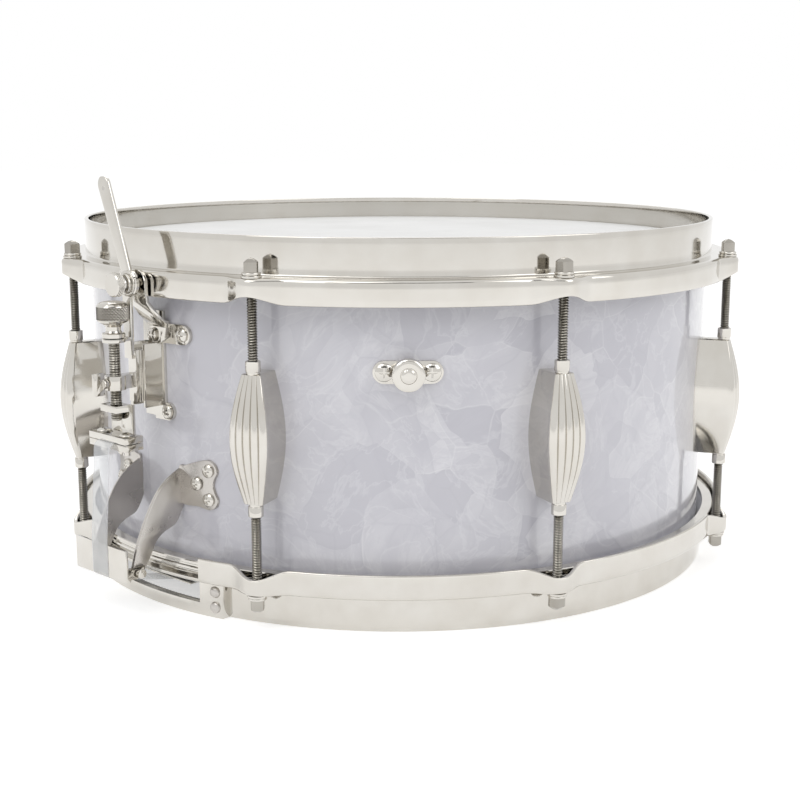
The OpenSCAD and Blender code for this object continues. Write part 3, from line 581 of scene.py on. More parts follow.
def hoop(name, bottom, gate=False):
    """The outline carried round the drum. Near each rod its outer part moves out by a raised cosine
    of the distance along the collar, and the collar's edge lifts by the same share. In a gate, the
    collar and the rim draw back to the shelf."""
    columns = 1440
    angle = np.linspace(0, 2 * np.pi, columns, endpoint=False)
    if gate:
        edge = np.arcsin(39 * mm / collar_r1)
        cuts = np.array([c + s * (edge + d) for c in (0, np.pi) for s in (-1, 1) for d in (-1e-4, 1e-4)])
        angle = np.sort(np.concatenate([angle, cuts % (2 * np.pi)]))
    apart = np.abs((angle[:, None] - lug_angles + np.pi) % (2 * np.pi) - np.pi).min(1) * collar_r1
    ear = np.where(apart < ear_half, (1 + np.cos(np.pi * np.minimum(apart / ear_half, 1))) / 2, 0)
    radius, height = hoop_outline[:, 0], hoop_outline[:, 1]
    outer = np.clip((radius - wall_r1 - 3 * mm) / (collar_r0 - wall_r1 - 3 * mm), 0, 1)
    droop = np.clip((shelf_low - height) / (shelf_low - collar_low), 0, 1)
    r = radius[None] + ear_bulge * ear[:, None] * outer[None]
    z = height[None] + ear_lift * ear[:, None] * (droop * (radius > collar_r0 - mm))[None]
    if gate:
        away = np.abs((angle + np.pi / 2) % np.pi - np.pi / 2)
        inside = (away < edge)[:, None]
        z = np.where(inside, np.clip(z, shelf_low, shelf_high), z)
    if bottom:
        z = top_z - z
    points = np.stack([r * np.sin(angle)[:, None], -r * np.cos(angle)[:, None], z], -1)
    return surface(name, points, nickel, around=True, along=True)


attach(hoop("batter_hoop", False), "top_hoop")
attach(hoop("snare_hoop", True, gate=True), "bottom_hoop")

# ---------------------------------------------------------------- lugs
# Cast lugs, barrel shaped from the front and bowed from the side, with five ribs that run together
# at the ends. Each is screwed to the shell from inside and holds a swivel nut in each end.
lug_low, lug_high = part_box("lugs")
middle_z = top_z / 2
lug_half = (lug_high[2] - lug_low[2]) / 2
rod_r = collar_r1 + 1.1 * mm
lug_end_w, lug_mid_w = 4.8 * mm, 10.0 * mm
lug_end_d, lug_mid_d = rod_r - shell_r + 3.2 * mm, rod_r - shell_r + 9.6 * mm
ribs = 5


def lug_shape():
    """One lug at the front of the drum. At height share t its half width is w and its depth d, both
    cosine bows. Across the front each of the ribs is an arch; the sides run straight back to the shell."""
    t = np.concatenate([[-1, -1, -0.995], np.linspace(-0.985, 0.985, 45), [0.995, 1, 1]])
    inset = np.array([0.0, 0.80, 0.93] + [1.0] * 45 + [0.93, 0.80, 0.0])
    bow = np.cos(np.pi / 2 * np.clip(t, -1, 1))
    w = (lug_end_w + (lug_mid_w - lug_end_w) * bow)[:, None]
    d = (lug_end_d + (lug_mid_d - lug_end_d) * bow)[:, None]
    across = np.linspace(-1, 1, 61)[None]
    rib = (across + 1) / 2 * ribs % 1.0
    rib = np.where(across >= 1, 0.0, rib)
    arch = np.sqrt(np.clip(1 - (2 * rib - 1) ** 2, 0, 1))
    depth_of_rib = (0.25 + 1.15 * bow)[:, None] * mm
    crown = (0.6 + 1.3 * bow)[:, None] * mm * across ** 2
    front_y = d - depth_of_rib * (1 - arch) - crown
    front_x = w * across
    back = np.linspace(0, 1, 10)[None, 1:]
    right_y = front_y[:, -1:] * (1 - back)
    right_x = np.repeat(w, 9, axis=1)
    floor_x = w * np.linspace(1, -1, 7)[None, 1:-1]
    x = np.concatenate([front_x, right_x, floor_x, -right_x[:, ::-1]], 1)
    y = np.concatenate([front_y, right_y, np.zeros_like(floor_x), right_y[:, ::-1]], 1)
    seat = np.sqrt(shell_r ** 2 - x ** 2) - shell_r
    y = np.maximum(y, seat)
    y = np.where(y < 1e-6, seat, y)
    centre = d / 2
    x = x * inset[:, None]
    y = centre + (y - centre) * inset[:, None]
    z = middle_z + np.repeat((t * lug_half)[:, None], x.shape[1], axis=1)
    return np.stack([x, -shell_r - y, z], -1)


def placed(points, angle):
    """Points made at the front of the drum, turned about its axis by that angle."""
    c, s = np.cos(angle), np.sin(angle)
    return np.stack([points[..., 0] * c - points[..., 1] * s,
                     points[..., 0] * s + points[..., 1] * c, points[..., 2]], -1)


def joined(name, pieces):
    """One object from several."""
    with bpy.context.temp_override(active_object=pieces[0], selected_editable_objects=pieces):
        bpy.ops.object.join()
    pieces[0].name = name
    pieces[0].data.name = name
    return pieces[0]


shape = lug_shape()
lugs = [surface(f"lug_{i}", placed(shape, a), nickel, around=True) for i, a in enumerate(lug_angles)]
attach(joined("cast_lugs", lugs), "lugs")

# ---------------------------------------------------------------- tension rods and swivel nuts
# Steel rods with rolled threads, a square key head and a collar, on a plain washer. Each turns in a
# swivel nut that stands out of the lug.
nut_r = 3.7 * mm
rod_radius = 2.6 * mm
head_z = shelf_high + 2.4 * mm
head_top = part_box("top_rod_1")[1][2]


def threaded(name, low, high, radius, pitch, deep, material, centre=(0.0, 0.0), around=18, per_turn=6):
    """A threaded rod: its radius is a triangle wave of height over pitch plus the turn, so that the
    crest winds up as a helix. The last turn at each end runs out to the root."""
    rows = int((high - low) / pitch * per_turn)
    z = np.linspace(low, high, rows)[:, None]
    angle = np.linspace(0, 2 * np.pi, around, endpoint=False)[None]
    phase = (z / pitch - angle / (2 * np.pi)) % 1.0
    wave = 1 - np.abs(2 * phase - 1)
    run = np.clip(np.minimum(z - low, high - z) / pitch, 0, 1)
    r = radius - deep + deep * wave * run
    points = np.stack([centre[0] + r * np.cos(angle), centre[1] + r * np.sin(angle),
                       np.repeat(z, around, axis=1)], -1)
    return surface(name, points, material, around=True, ends=True)


def key_head(name, low, high, half, material, centre, angle):
    """A square key head: a superellipse cross-section that rounds in to a low dome at the top."""
    t = np.concatenate([np.zeros(1), np.linspace(0, 1, 9), np.linspace(1, 0, 7)[1:]])
    z = np.concatenate([[low], np.linspace(low, high - 2.0 * mm, 9),
                        high - 2.0 * mm * np.cos(np.linspace(0, np.pi / 2, 7)[1:] )])
    shrink = np.concatenate([[1.0], np.ones(9), np.cos(np.linspace(0, np.pi / 2, 7)[1:]) ** 0.6])
    turn = np.linspace(0, 2 * np.pi, 48, endpoint=False)[None]
    power = 9.0
    reach = half * (np.abs(np.cos(turn)) ** power + np.abs(np.sin(turn)) ** power) ** (-1 / power)
    r = reach * shrink[:, None]
    points = np.stack([centre[0] + r * np.cos(turn + angle), centre[1] + r * np.sin(turn + angle),
                       np.repeat(z[:, None], 48, axis=1)], -1)
    return surface(name, points, material, around=True, ends=True)


def flipped(piece):
    """The same piece mirrored to the bottom of the drum."""
    co = np.empty(len(piece.data.vertices) * 3)
    piece.data.vertices.foreach_get("co", co)
    co = co.reshape(-1, 3)
    co[:, 2] = top_z - co[:, 2]
    piece.data.vertices.foreach_set("co", co.ravel())
    outward(piece)
    return piece


for i, a in enumerate(lug_angles):
    centre = (rod_r * np.sin(a), -rod_r * np.cos(a))
    for side in ("top", "bottom"):
        node = f"{side}_rod_{i + 1}"
        rod_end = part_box("top_rod_1")[0][2]
        shank = threaded("shank", rod_end, shelf_low - 3 * mm, rod_radius, thread_pitch, 0.7 * mm,
                         rod_steel, centre)
        neck = turned("neck", [(0.01 * mm, shelf_low - 3.4 * mm), (2.45 * mm, shelf_low - 3.4 * mm),
                               (2.45 * mm, head_z), (0.01 * mm, head_z)], rod_steel, 32, centre)
        collar = turned("collar", rounded(
            [(0.2 * mm, shelf_high + 1.25 * mm), (4.6 * mm, shelf_high + 1.25 * mm),
             (4.6 * mm, shelf_high + 2.65 * mm), (0.2 * mm, shelf_high + 2.65 * mm)],
            [0.05 * mm, 0.5 * mm, 0.5 * mm, 0.05 * mm], 4), nickel, 40, centre)
        head = key_head("head", shelf_high + 2.4 * mm, head_top, 3.17 * mm, head_steel, centre, a + 0.35)
        parts = [shank, neck, collar, head]
        if side == "bottom":
            parts = [flipped(p) for p in parts]
        attach(joined(f"{node}_screw", parts), node)

nuts, washers = [], []
for i, a in enumerate(lug_angles):
    centre = (rod_r * np.sin(a), -rod_r * np.cos(a))
    lug_top = lug_high[2]
    for side in ("top", "bottom"):
        nut = turned("nut", [
            (rod_radius + 0.1 * mm, lug_top - 3 * mm), (nut_r - 0.5 * mm, lug_top - 3 * mm),
            (nut_r - 0.5 * mm, lug_top + 0.7 * mm), (nut_r - 0.15 * mm, lug_top + 0.7 * mm),
            (nut_r, lug_top + 0.9 * mm), (nut_r, lug_top + 5.7 * mm), (nut_r - 0.3 * mm, lug_top + 6 * mm),
            (rod_radius + 0.3 * mm, lug_top + 6 * mm), (rod_radius + 0.1 * mm, lug_top + 5.7 * mm),
        ], nickel, 48, centre)
        washer = turned("washer", rounded(
            [(rod_radius + 0.3 * mm, shelf_high), (5 * mm, shelf_high), (5 * mm, shelf_high + 1.2 * mm),
             (rod_radius + 0.3 * mm, shelf_high + 1.2 * mm)],
            [0.1 * mm, 0.3 * mm, 0.3 * mm, 0.1 * mm], 3), nickel, 40, centre)
        if side == "bottom":
            nut, washer = flipped(nut), flipped(washer)
        nuts.append(nut)
        washers.append(washer)
attach(joined("lug_nuts", nuts), "swivel_nuts")
attach(joined("plain_washers", washers), "rod_washers")

# ---------------------------------------------------------------- milled and pressed fittings
# Plates, blocks and brackets of plated steel. Their edges are broken with a small round, which is
# what catches the light.


def soften(node, width, material, steps=2, angle=32.0):
    """A copy of a CAD node with its flat faces made whole and its sharp edges rounded by width."""
    piece = add_object(f"{node}_finished", nodes[node].data.copy())
    shape = bmesh.new()
    shape.from_mesh(piece.data)
    bmesh.ops.remove_doubles(shape, verts=shape.verts, dist=2e-6)
    bmesh.ops.dissolve_limit(shape, angle_limit=np.radians(0.6), verts=shape.verts, edges=shape.edges)
    shape.to_mesh(piece.data)
    shape.free()
    piece.data.materials.clear()
    piece.data.materials.append(material)
    bevel = piece.modifiers.new("edge", "BEVEL")
    bevel.width = width
    bevel.segments = steps
    bevel.limit_method = "ANGLE"
    bevel.angle_limit = np.radians(angle)
    bevel.use_clamp_overlap = True
    bevel.harden_normals = False
    piece.data.shade_smooth()
    bpy.context.view_layer.objects.active = piece
    with bpy.context.temp_override(object=piece, active_object=piece):
        bpy.ops.object.modifier_apply(modifier=bevel.name)
    piece.data.set_sharp_from_angle(angle=np.radians(40))
    return attach(piece, node)


soft_edges = {
    "strainer_base": 0.35, "slider": 0.3, "carriage": 0.3, "strainer_clamp": 0.4, "butt_plate": 0.35,
    "butt_clamp": 0.4, "snare_guards": 0.35, "strainer_bridge": 0.3,
    "butt_bridge": 0.3, "tone_plate": 0.3, "pivot_washers": 0.25,
    "wing_screw": 0.45, "pivot_bolt": 0.3, "snare_end_plates": 0.15, "air_vent": 0.3,
}
for node, width in soft_edges.items():
    soften(node, width * mm, nickel)
for node, width in {"arm_screws": 0.15, "strainer_screws": 0.15, "clamp_screws": 0.2, "butt_screws": 0.15}.items():
    soften(node, width * mm, nickel)
for node in ("lug_screws", "muffler_bracket", "muffler_arm"):
    soften(node, 0.2 * mm, steel)

# ---------------------------------------------------------------- knurled knobs
# Turned brass with a diamond knurl rolled round the rim, plated. The tension knob has a domed top
# and a necked stem on its flange and screw; the pivot cap is flat.


def knurled(name, profile, rows, axis_place, axis, material, teeth=30, deep=0.5 * mm):
    """A profile turned about an axis, as (radius, distance along the axis, knurl share) rows. Where
    the share is one, the radius follows a diamond wave: the product of two triangle waves that wind
    opposite ways."""
    profile = np.asarray(profile, float)
    at = np.concatenate([[0], np.cumsum(np.maximum(np.hypot(*np.diff(profile[:, :2], axis=0).T), 1e-6))])
    ridged = at[profile[:, 2] > 0]
    band = np.arange(ridged[0], ridged[-1], 0.19 * mm) if len(ridged) else []
    fine = np.unique(np.concatenate([at, np.linspace(0, at[-1], rows), band]))
    r, z, share = (np.interp(fine, at, profile[:, k])[:, None] for k in range(3))
    turn = np.linspace(0, 2 * np.pi, teeth * 8, endpoint=False)[None]
    step = 2 * np.pi * profile[:, 0].max() / teeth
    one = np.abs(2 * ((turn * teeth / (2 * np.pi) + z / step) % 1.0) - 1)
    two = np.abs(2 * ((turn * teeth / (2 * np.pi) - z / step) % 1.0) - 1)
    r = r - share * deep * np.clip(1 - 1.6 * np.minimum(one, two), 0, 1)
    w = Vector(axis).normalized()
    u = w.orthogonal().normalized()
    v = w.cross(u)
    centre = np.array(axis_place)
    z = np.repeat(z, turn.shape[1], axis=1)
    points = (centre + (r * np.cos(turn))[..., None] * np.array(u)
              + (r * np.sin(turn))[..., None] * np.array(v) + z[..., None] * np.array(w))
    return surface(name, points, material, around=True, ends=True)


knob_low, knob_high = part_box("tension_knob")
knob_x, knob_y = (knob_low[0] + knob_high[0]) / 2, (knob_low[1] + knob_high[1]) / 2
knob_r = (knob_high[0] - knob_low[0]) / 2
knob_top = knob_high[2]
knob_z = knob_top - 10.6 * mm
screw_r = 2.9 * mm
dome = np.linspace(0, 1, 9)[1:]
knob_rows = [
    (screw_r - 0.4 * mm, knob_z - 9.0 * mm, 0), (screw_r, knob_z - 8.0 * mm, 0), (5.3 * mm, knob_z - 7.7 * mm, 0),
    (5.7 * mm, knob_z - 7.4 * mm, 0), (5.7 * mm, knob_z - 5.6 * mm, 0), (5.3 * mm, knob_z - 5.2 * mm, 0),
    (4.2 * mm, knob_z - 5.0 * mm, 0), (3.7 * mm, knob_z - 4.0 * mm, 0), (3.8 * mm, knob_z - 2.2 * mm, 0),
    (4.9 * mm, knob_z - 0.9 * mm, 0), (knob_r - 1.0 * mm, knob_z + 0.2 * mm, 0),
    (knob_r - 0.1 * mm, knob_z + 1.2 * mm, 0), (knob_r, knob_z + 1.5 * mm, 1), (knob_r, knob_top - 2.7 * mm, 1),
    (knob_r - 0.2 * mm, knob_top - 2.2 * mm, 0),
] + [(max((knob_r - 0.8 * mm) * np.cos(s * np.pi / 2), 0.05 * mm),
      knob_top - 1.7 * mm + 1.7 * mm * np.sin(s * np.pi / 2), 0) for s in dome]
knob_teeth = 30
knurl_step = 2 * np.pi * knob_r / knob_teeth
# painted shade: a darker copy of the nickel for the knurled band, with its grooves painted near black
knurl_nickel_painted_shade = metal("knurled_nickel_painted_shade", (0.50, 0.475, 0.43), (0.58, 0.555, 0.51), 0.1, 0.2, 0.04,
                    knurl_relief(knob_x, knob_y, knob_teeth, knurl_step))
split = next(i for i, row in enumerate(knob_rows) if row[2] == 1)
knurl_rows, top_rows = knob_rows[split:split + 2], knob_rows[split + 1:]
knob_stem = knurled("knob_stem", knob_rows[:split + 1], 40, (knob_x, knob_y, 0), (0, 0, 1), nickel, deep=0.0)
knob_grip = knurled("knob_grip", knurl_rows, 8, (knob_x, knob_y, 0), (0, 0, 1), knurl_nickel_painted_shade, knob_teeth)
knob_dome = knurled("knob_dome", top_rows, 24, (knob_x, knob_y, 0), (0, 0, 1), nickel, deep=0.0)
knob_screw = threaded("knob_screw", knob_low[2], knob_z - 8.2 * mm, screw_r, 1.0 * mm, 0.4 * mm,
                      rod_steel, (knob_x, knob_y), 24)
attach(joined("tension_knob_knurled", [knob_stem, knob_grip, knob_dome, knob_screw]), "tension_knob")

cap_low, cap_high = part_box("pivot_cap")
cap_centre = ((cap_low[0] + cap_high[0]) / 2, 0, (cap_low[2] + cap_high[2]) / 2)
cap_r = (cap_high[0] - cap_low[0]) / 2
cap_in, cap_out = -cap_high[1], -cap_low[1]
cap_rows = [
    (2.3 * mm, cap_in, 0), (3.5 * mm, cap_in + 0.05 * mm, 0), (3.6 * mm, cap_in + 0.2 * mm, 0),
    (3.3 * mm, cap_in + 1.2 * mm, 0), (3.6 * mm, cap_in + 2.1 * mm, 0), (cap_r - 0.5 * mm, cap_in + 2.3 * mm, 0),
    (cap_r, cap_in + 2.8 * mm, 0), (cap_r, cap_in + 3.0 * mm, 1), (cap_r, cap_out - 0.7 * mm, 1),
    (cap_r - 0.1 * mm, cap_out - 0.4 * mm, 0), (cap_r - 0.6 * mm, cap_out, 0), (0.05 * mm, cap_out, 0),
]
cap = knurled("pivot_cap_knurled", cap_rows, 50, cap_centre, (0, -1, 0), nickel, teeth=26, deep=0.4 * mm)
attach(cap, "pivot_cap")

# ---------------------------------------------------------------- throw-off lever
# A forged lever: a slim root at the hub that widens to a round paddle, a small dimple near its tip,
# and a round boss by the hub that carries the crank pin.
lever_low, lever_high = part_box("throw_off_lever")
pivot_x, pivot_z = cap_centre[0], cap_centre[2]
lever_t = 2.5 * mm
lever_out = -lever_low[1]
lean = np.radians(21.0)
paddle_r = 4.4 * mm
reach_z = lever_high[2] - pivot_z - paddle_r
blade_len = reach_z / np.cos(lean) + paddle_r


def lever_blade():
    """Cross-sections along the lever. The half width eases from the root to the paddle and closes in
    a half circle at the tip; each section is a superellipse of the lever's thickness."""
    straight = np.linspace(0, blade_len - paddle_r, 40)
    bend = np.radians(np.linspace(0, 88, 14)[1:])
    along = np.concatenate([straight, blade_len - paddle_r + paddle_r * np.sin(bend)])
    ease = np.clip(straight / (blade_len - paddle_r), 0, 1) ** 0.8
    half = np.concatenate([3.1 * mm + (paddle_r - 3.1 * mm) * ease, paddle_r * np.cos(bend)])
    turn = np.linspace(0, 2 * np.pi, 40, endpoint=False)[None]
    power = 2 / 5.0
    across = half[:, None] * np.sign(np.cos(turn)) * np.abs(np.cos(turn)) ** power
    deep = lever_t / 2 * np.sign(np.sin(turn)) * np.abs(np.sin(turn)) ** power
    deep = np.repeat(deep, len(along), axis=0)
    along = along[:, None]
    x = pivot_x + across * np.cos(lean) - along * np.sin(lean)
    z = pivot_z + across * np.sin(lean) + along * np.cos(lean)
    return np.stack([x, -lever_out + lever_t / 2 + deep, z], -1)


def out_disc(name, x, z, inner, outer, radius, bore, material, edge=0.25 * mm):
    """A round plate or ring that faces outward, between two distances off the drum axis."""
    rows = [(bore, inner, 0), (radius - edge, inner, 0), (radius, inner + edge, 0), (radius, outer - edge, 0),
            (radius - edge, outer, 0), (bore, outer, 0)]
    return knurled(name, rows, 8, (x, 0, z), (0, -1, 0), material, teeth=6, deep=0.0)


blade = surface("blade", lever_blade(), nickel, around=True, ends=True)
hub = out_disc("hub", pivot_x, pivot_z, lever_out - lever_t, lever_out, 6.6 * mm, 0.1 * mm, nickel, 0.5 * mm)
tip = blade_len - 6.0 * mm
# painted shade: the dimple is a flat disc of darker steel on the lever face, not a hollow
dimple_painted_shade = out_disc("dimple_painted_shade", pivot_x - tip * np.sin(lean), pivot_z + tip * np.cos(lean),
                  lever_out - 0.5 * mm, lever_out + 0.03 * mm, 1.1 * mm, 0.05 * mm, steel, 0.05 * mm)
crank_x = pivot_x + 6.5 * mm * np.cos(np.radians(142.5))
crank_z = pivot_z + 6.5 * mm * np.sin(np.radians(142.5))
boss = out_disc("boss", crank_x, crank_z, lever_out - lever_t, lever_out - 0.1 * mm, 2.6 * mm, 0.05 * mm,
                nickel, 0.4 * mm)
pin = out_disc("pin", crank_x, crank_z, -lever_high[1], lever_out - 1 * mm, 1.5 * mm, 0.05 * mm, nickel)
attach(joined("lever_forged", [blade, hub, dimple_painted_shade, boss, pin]), "throw_off_lever")

# ---------------------------------------------------------------- tone knob
# A thin turned disc with a round pip in its middle, on a shaft that works the muffler inside.
tone_low, tone_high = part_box("tone_knob")
tone_z = (tone_low[2] + tone_high[2]) / 2
tone_r = (tone_high[2] - tone_low[2]) / 2
tone_axis = np.array([1.0, -1.0, 0.0]) / np.sqrt(2)
inner_r = ply_r - 5.5 * mm
tone_rows = [
    (0.05 * mm, inner_r - 5 * mm, 0), (3.1 * mm, inner_r - 5 * mm, 0), (3.1 * mm, shell_r + 4.2 * mm, 0),
    (6.6 * mm, shell_r + 4.4 * mm, 0), (tone_r - 0.1 * mm, shell_r + 6.2 * mm, 0), (tone_r, shell_r + 7.0 * mm, 0),
    (tone_r, shell_r + 10.2 * mm, 0), (tone_r - 0.2 * mm, shell_r + 11.2 * mm, 0),
    (tone_r - 0.9 * mm, shell_r + 11.8 * mm, 0), (tone_r - 2.0 * mm, shell_r + 12.0 * mm, 0),
    (3.9 * mm, shell_r + 12.0 * mm, 0), (3.7 * mm, shell_r + 11.6 * mm, 0), (3.4 * mm, shell_r + 11.6 * mm, 0),
    (3.3 * mm, shell_r + 12.2 * mm, 0), (2.6 * mm, shell_r + 12.6 * mm, 0), (0.05 * mm, shell_r + 12.6 * mm, 0),
]
tone = knurled("tone_knob_turned", tone_rows, 30, (0, 0, tone_z), tuple(tone_axis), nickel, teeth=12, deep=0.0)
attach(tone, "tone_knob")

# ---------------------------------------------------------------- muffler pad
# A block of pressed wool felt glued on the muffler arm.
felt, tree, shader = new_material("felt")
where = object_place(tree)
fuzz = noise(tree, where, 1500.0, 4.0, 0.7)
grey = mix_colours(tree, ramp(tree, noise(tree, where, 300.0, 4.0).outputs["Fac"], [(0.3, 0.0), (0.7, 1.0)]),
                   (0.42, 0.41, 0.38), (0.62, 0.61, 0.58))
tree.links.new(grey, shader.inputs["Base Color"])
shader.inputs["Roughness"].default_value = 0.95
shader.inputs["Sheen Weight"].default_value = 0.4
bump = tree.nodes.new("ShaderNodeBump")
bump.inputs["Strength"].default_value = 0.5
bump.inputs["Distance"].default_value = 0.0004
tree.links.new(fuzz.outputs["Fac"], bump.inputs["Height"])
tree.links.new(bump.outputs["Normal"], shader.inputs["Normal"])
pad_low, pad_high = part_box("muffler_pad")
pad_r = (pad_high[0] - pad_low[0]) / 2
pad = turned("felt_pad", rounded(
    [(0.3 * mm, pad_low[2]), (pad_r, pad_low[2]), (pad_r, pad_high[2]), (0.3 * mm, pad_high[2])],
    [0.1 * mm, 1.2 * mm, 3.0 * mm, 0.1 * mm], 7), felt, 64,
    ((pad_low[0] + pad_high[0]) / 2, (pad_low[1] + pad_high[1]) / 2))
attach(pad, "muffler_pad")

# ---------------------------------------------------------------- snare wires
# Twenty steel wires, each wound into a long open coil and soldered to a plate at both ends.
wires_low, wires_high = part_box("snare_wires")
coil_d = wires_high[2] - wires_low[2]
coil_z = (wires_high[2] + wires_low[2]) / 2
wire_count = 20
wire_r = 0.24 * mm
coil_pitch = 1.75 * mm


def coil(name, x, start_phase):
    """A round wire wound in a helix along Y: a small circle carried along the helix, in the plane of
    the helix's own normal and binormal."""
    length = wires_high[1] - wires_low[1]
    turns = length / coil_pitch
    count = int(turns * 9)
    t = np.linspace(0, 2 * np.pi * turns, count)
    radius = coil_d / 2 - wire_r
    centre = np.stack([x + radius * np.cos(t + start_phase), wires_low[1] + t / (2 * np.pi) * coil_pitch,
                       coil_z + radius * np.sin(t + start_phase)], -1)
    normal = np.stack([np.cos(t + start_phase), np.zeros(count), np.sin(t + start_phase)], -1)
    along = np.gradient(centre, axis=0)
    along /= np.linalg.norm(along, axis=1)[:, None]
    side = np.cross(along, normal)
    ring = np.linspace(0, 2 * np.pi, 5, endpoint=False)
    points = (centre[:, None] + wire_r * np.cos(ring)[None, :, None] * normal[:, None]
              + wire_r * np.sin(ring)[None, :, None] * side[:, None])
    points[..., 1] = np.clip(points[..., 1], wires_low[1], wires_high[1])
    return surface(name, points, steel, around=True, ends=True)


coil_x = np.linspace(wires_low[0] + coil_d / 2, wires_high[0] - coil_d / 2, wire_count)
for half, chosen in (("left", coil_x[:10]), ("right", coil_x[10:])):
    wires = joined(f"snare_coils_{half}", [coil("coil", x, k * 1.7) for k, x in enumerate(chosen)])
    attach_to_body(wires, body_of_node["snare_wires"])
    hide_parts("snare_wires")

# ---------------------------------------------------------------- straps
# A strip of clear polyester at each end, clamped at the top, led over the bridge and round its lip,
# and in under the snare head to the end plate of the wires.
strap_film, tree, shader = new_material("strap_film")
where = object_place(tree)
cloud = noise(tree, where, 120.0, 3.0)
tint = mix_colours(tree, ramp(tree, cloud.outputs["Fac"], [(0.3, 0.0), (0.7, 1.0)]),
                   (0.80, 0.82, 0.84), (0.90, 0.91, 0.93))
tree.links.new(tint, shader.inputs["Base Color"])
shader.inputs["Roughness"].default_value = 0.12
shader.inputs["Alpha"].default_value = 0.34
shader.inputs["Specular IOR Level"].default_value = 0.8
strap_low, strap_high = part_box("strainer_strap")
strap_w = strap_high[0] - strap_low[0]
strap_t = 0.4 * mm
bridge_low, bridge_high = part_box("strainer_bridge")
reach = -bridge_low[1] - shell_r
clamp_low, clamp_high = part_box("strainer_clamp")
clamp_z = clamp_high[2] + strap_t / 2
clamp_out = -clamp_low[1] - shell_r
plates_low, plates_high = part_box("snare_end_plates")


def smooth_path(points, spacing):
    """A Catmull-Rom curve through the points, resampled at even steps of about that spacing."""
    p = np.asarray(points, float)
    p = np.concatenate([2 * p[:1] - p[1:2], p, 2 * p[-1:] - p[-2:-1]])
    t = np.linspace(0, 1, 24, endpoint=False)[:, None]
    runs = []
    for a, b, c, d in zip(p[:-3], p[1:-2], p[2:-1], p[3:]):
        runs.append(0.5 * (2 * b + (c - a) * t + (2 * a - 5 * b + 4 * c - d) * t ** 2
                           + (3 * b - a - 3 * c + d) * t ** 3))
    curve = np.concatenate(runs + [p[-2:-1]])
    at = np.concatenate([[0], np.cumsum(np.linalg.norm(np.diff(curve, axis=0), axis=1))])
    even = np.linspace(0, at[-1], max(3, int(at[-1] / spacing)))
    return np.stack([np.interp(even, at, curve[:, k]) for k in range(2)], 1)


bridge_face = reach + 0.01 * mm + strap_t / 2
lip_z = bridge_low[2]
end_z = plates_low[2] - strap_t / 2
strap_route = [
    (clamp_out - 8 * mm, clamp_z), (clamp_out - 3 * mm, clamp_z), (clamp_out + 0.6 * mm, clamp_z - 0.02 * mm),
    (clamp_out + 2.3 * mm, clamp_z - 1.2 * mm), (clamp_out + 3.2 * mm, clamp_z - 3.4 * mm),
    (clamp_out + 3.7 * mm, clamp_z - 10 * mm), (bridge_face - 1.2 * mm, clamp_z - 34 * mm),
    (bridge_face, bridge_high[2] + 1 * mm), (bridge_face, bridge_high[2] - 6 * mm), (bridge_face, lip_z + 2.2 * mm),
    (bridge_face - 0.7 * mm, lip_z + 0.5 * mm), (bridge_face - 2.2 * mm, lip_z - 0.35 * mm),
    (bridge_face - 6 * mm, lip_z - 1.6 * mm), (8 * mm, end_z + 2.2 * mm), (-2 * mm, end_z + 0.02 * mm),
    (-6 * mm, end_z), (-9 * mm, end_z),
]
strap_path = smooth_path(strap_route, 0.7 * mm)


def strap_piece(name, path, angle):
    """A flat strip carried along a path of (distance off the shell, height): at each step the
    cross-section is a thin rectangle square to the path."""
    along = np.gradient(path, axis=0)
    along /= np.linalg.norm(along, axis=1)[:, None]
    normal = np.stack([along[:, 1], -along[:, 0]], 1) * strap_t / 2
    half = strap_w / 2
    rows = []
    for side, x in ((1, -half), (1, half), (-1, half), (-1, -half)):
        p = path + side * normal
        rows.append(np.stack([np.full(len(p), x), -shell_r - p[:, 0], p[:, 1]], 1))
    return surface(name, placed(np.stack(rows, 1), angle), strap_film, around=True, ends=True)


def strap_between(name, high, low, angle=0.0):
    """The part of the strap from its step high to its step low."""
    return strap_piece(name, strap_path[high:low + 1], angle)


at_height = np.argmax(strap_path[:, 1] < clamp_z - 8 * mm)
below = np.argmax(strap_path[:, 1] < clamp_z - 20 * mm)
at_lip = np.argmax(strap_path[:, 1] < lip_z + 2.0 * mm)
last = len(strap_path) - 1


held = strap_between("strap_in_clamp", 0, at_height)
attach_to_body(held, "carriage_body")
fine = strap_between("strap_below_clamp", at_height, below)
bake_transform(fine)
free = strap_between("strap_to_bridge", below, at_lip)
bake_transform(free)
under = strap_between("strap_under_head", at_lip, last)
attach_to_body(under, "drum")
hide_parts("strainer_strap")
butt = strap_between("butt_strap_film", 0, last, np.pi)
attach(butt, "butt_strap")

# ---------------------------------------------------------------- bridge arms
# Each arm is stamped from satin strip: a curved blade that stands out from the shell, and a flange
# bent from its root and scalloped round its three screws.
satin = metal("satin_nickel", (0.50, 0.475, 0.445), (0.57, 0.545, 0.515), 0.24, 0.34, 0.03)
arm_s, arm_t, flange_t = 17 * mm, 1.5 * mm, 1.5 * mm
blade_outer = np.array([(-0.5, 73), (9, 68), (16, 61.5), (22.4, 51), (27, 41.5), (30, 33.5), (32, 25.5),
                        (32, 22)]) * mm
blade_inner = np.array([(26, 22), (24, 26.3), (20, 32.5), (16.5, 38.5), (11.5, 42), (5, 44.5), (1.5, 49),
                        (-0.5, 53)]) * mm
flange_points = np.array([(16.3, 54.6), (22, 54.2), (29, 54.6), (33, 54.0), (37, 53.8), (40.4, 56), (41.3, 59.5),
                          (39.6, 63.2), (38.7, 66.5), (39.6, 69.8), (41.3, 73.5), (40.2, 77), (36.8, 79.2),
                          (32.5, 78.8), (26, 76.8), (20, 74.6), (16.3, 72.8)]) * mm


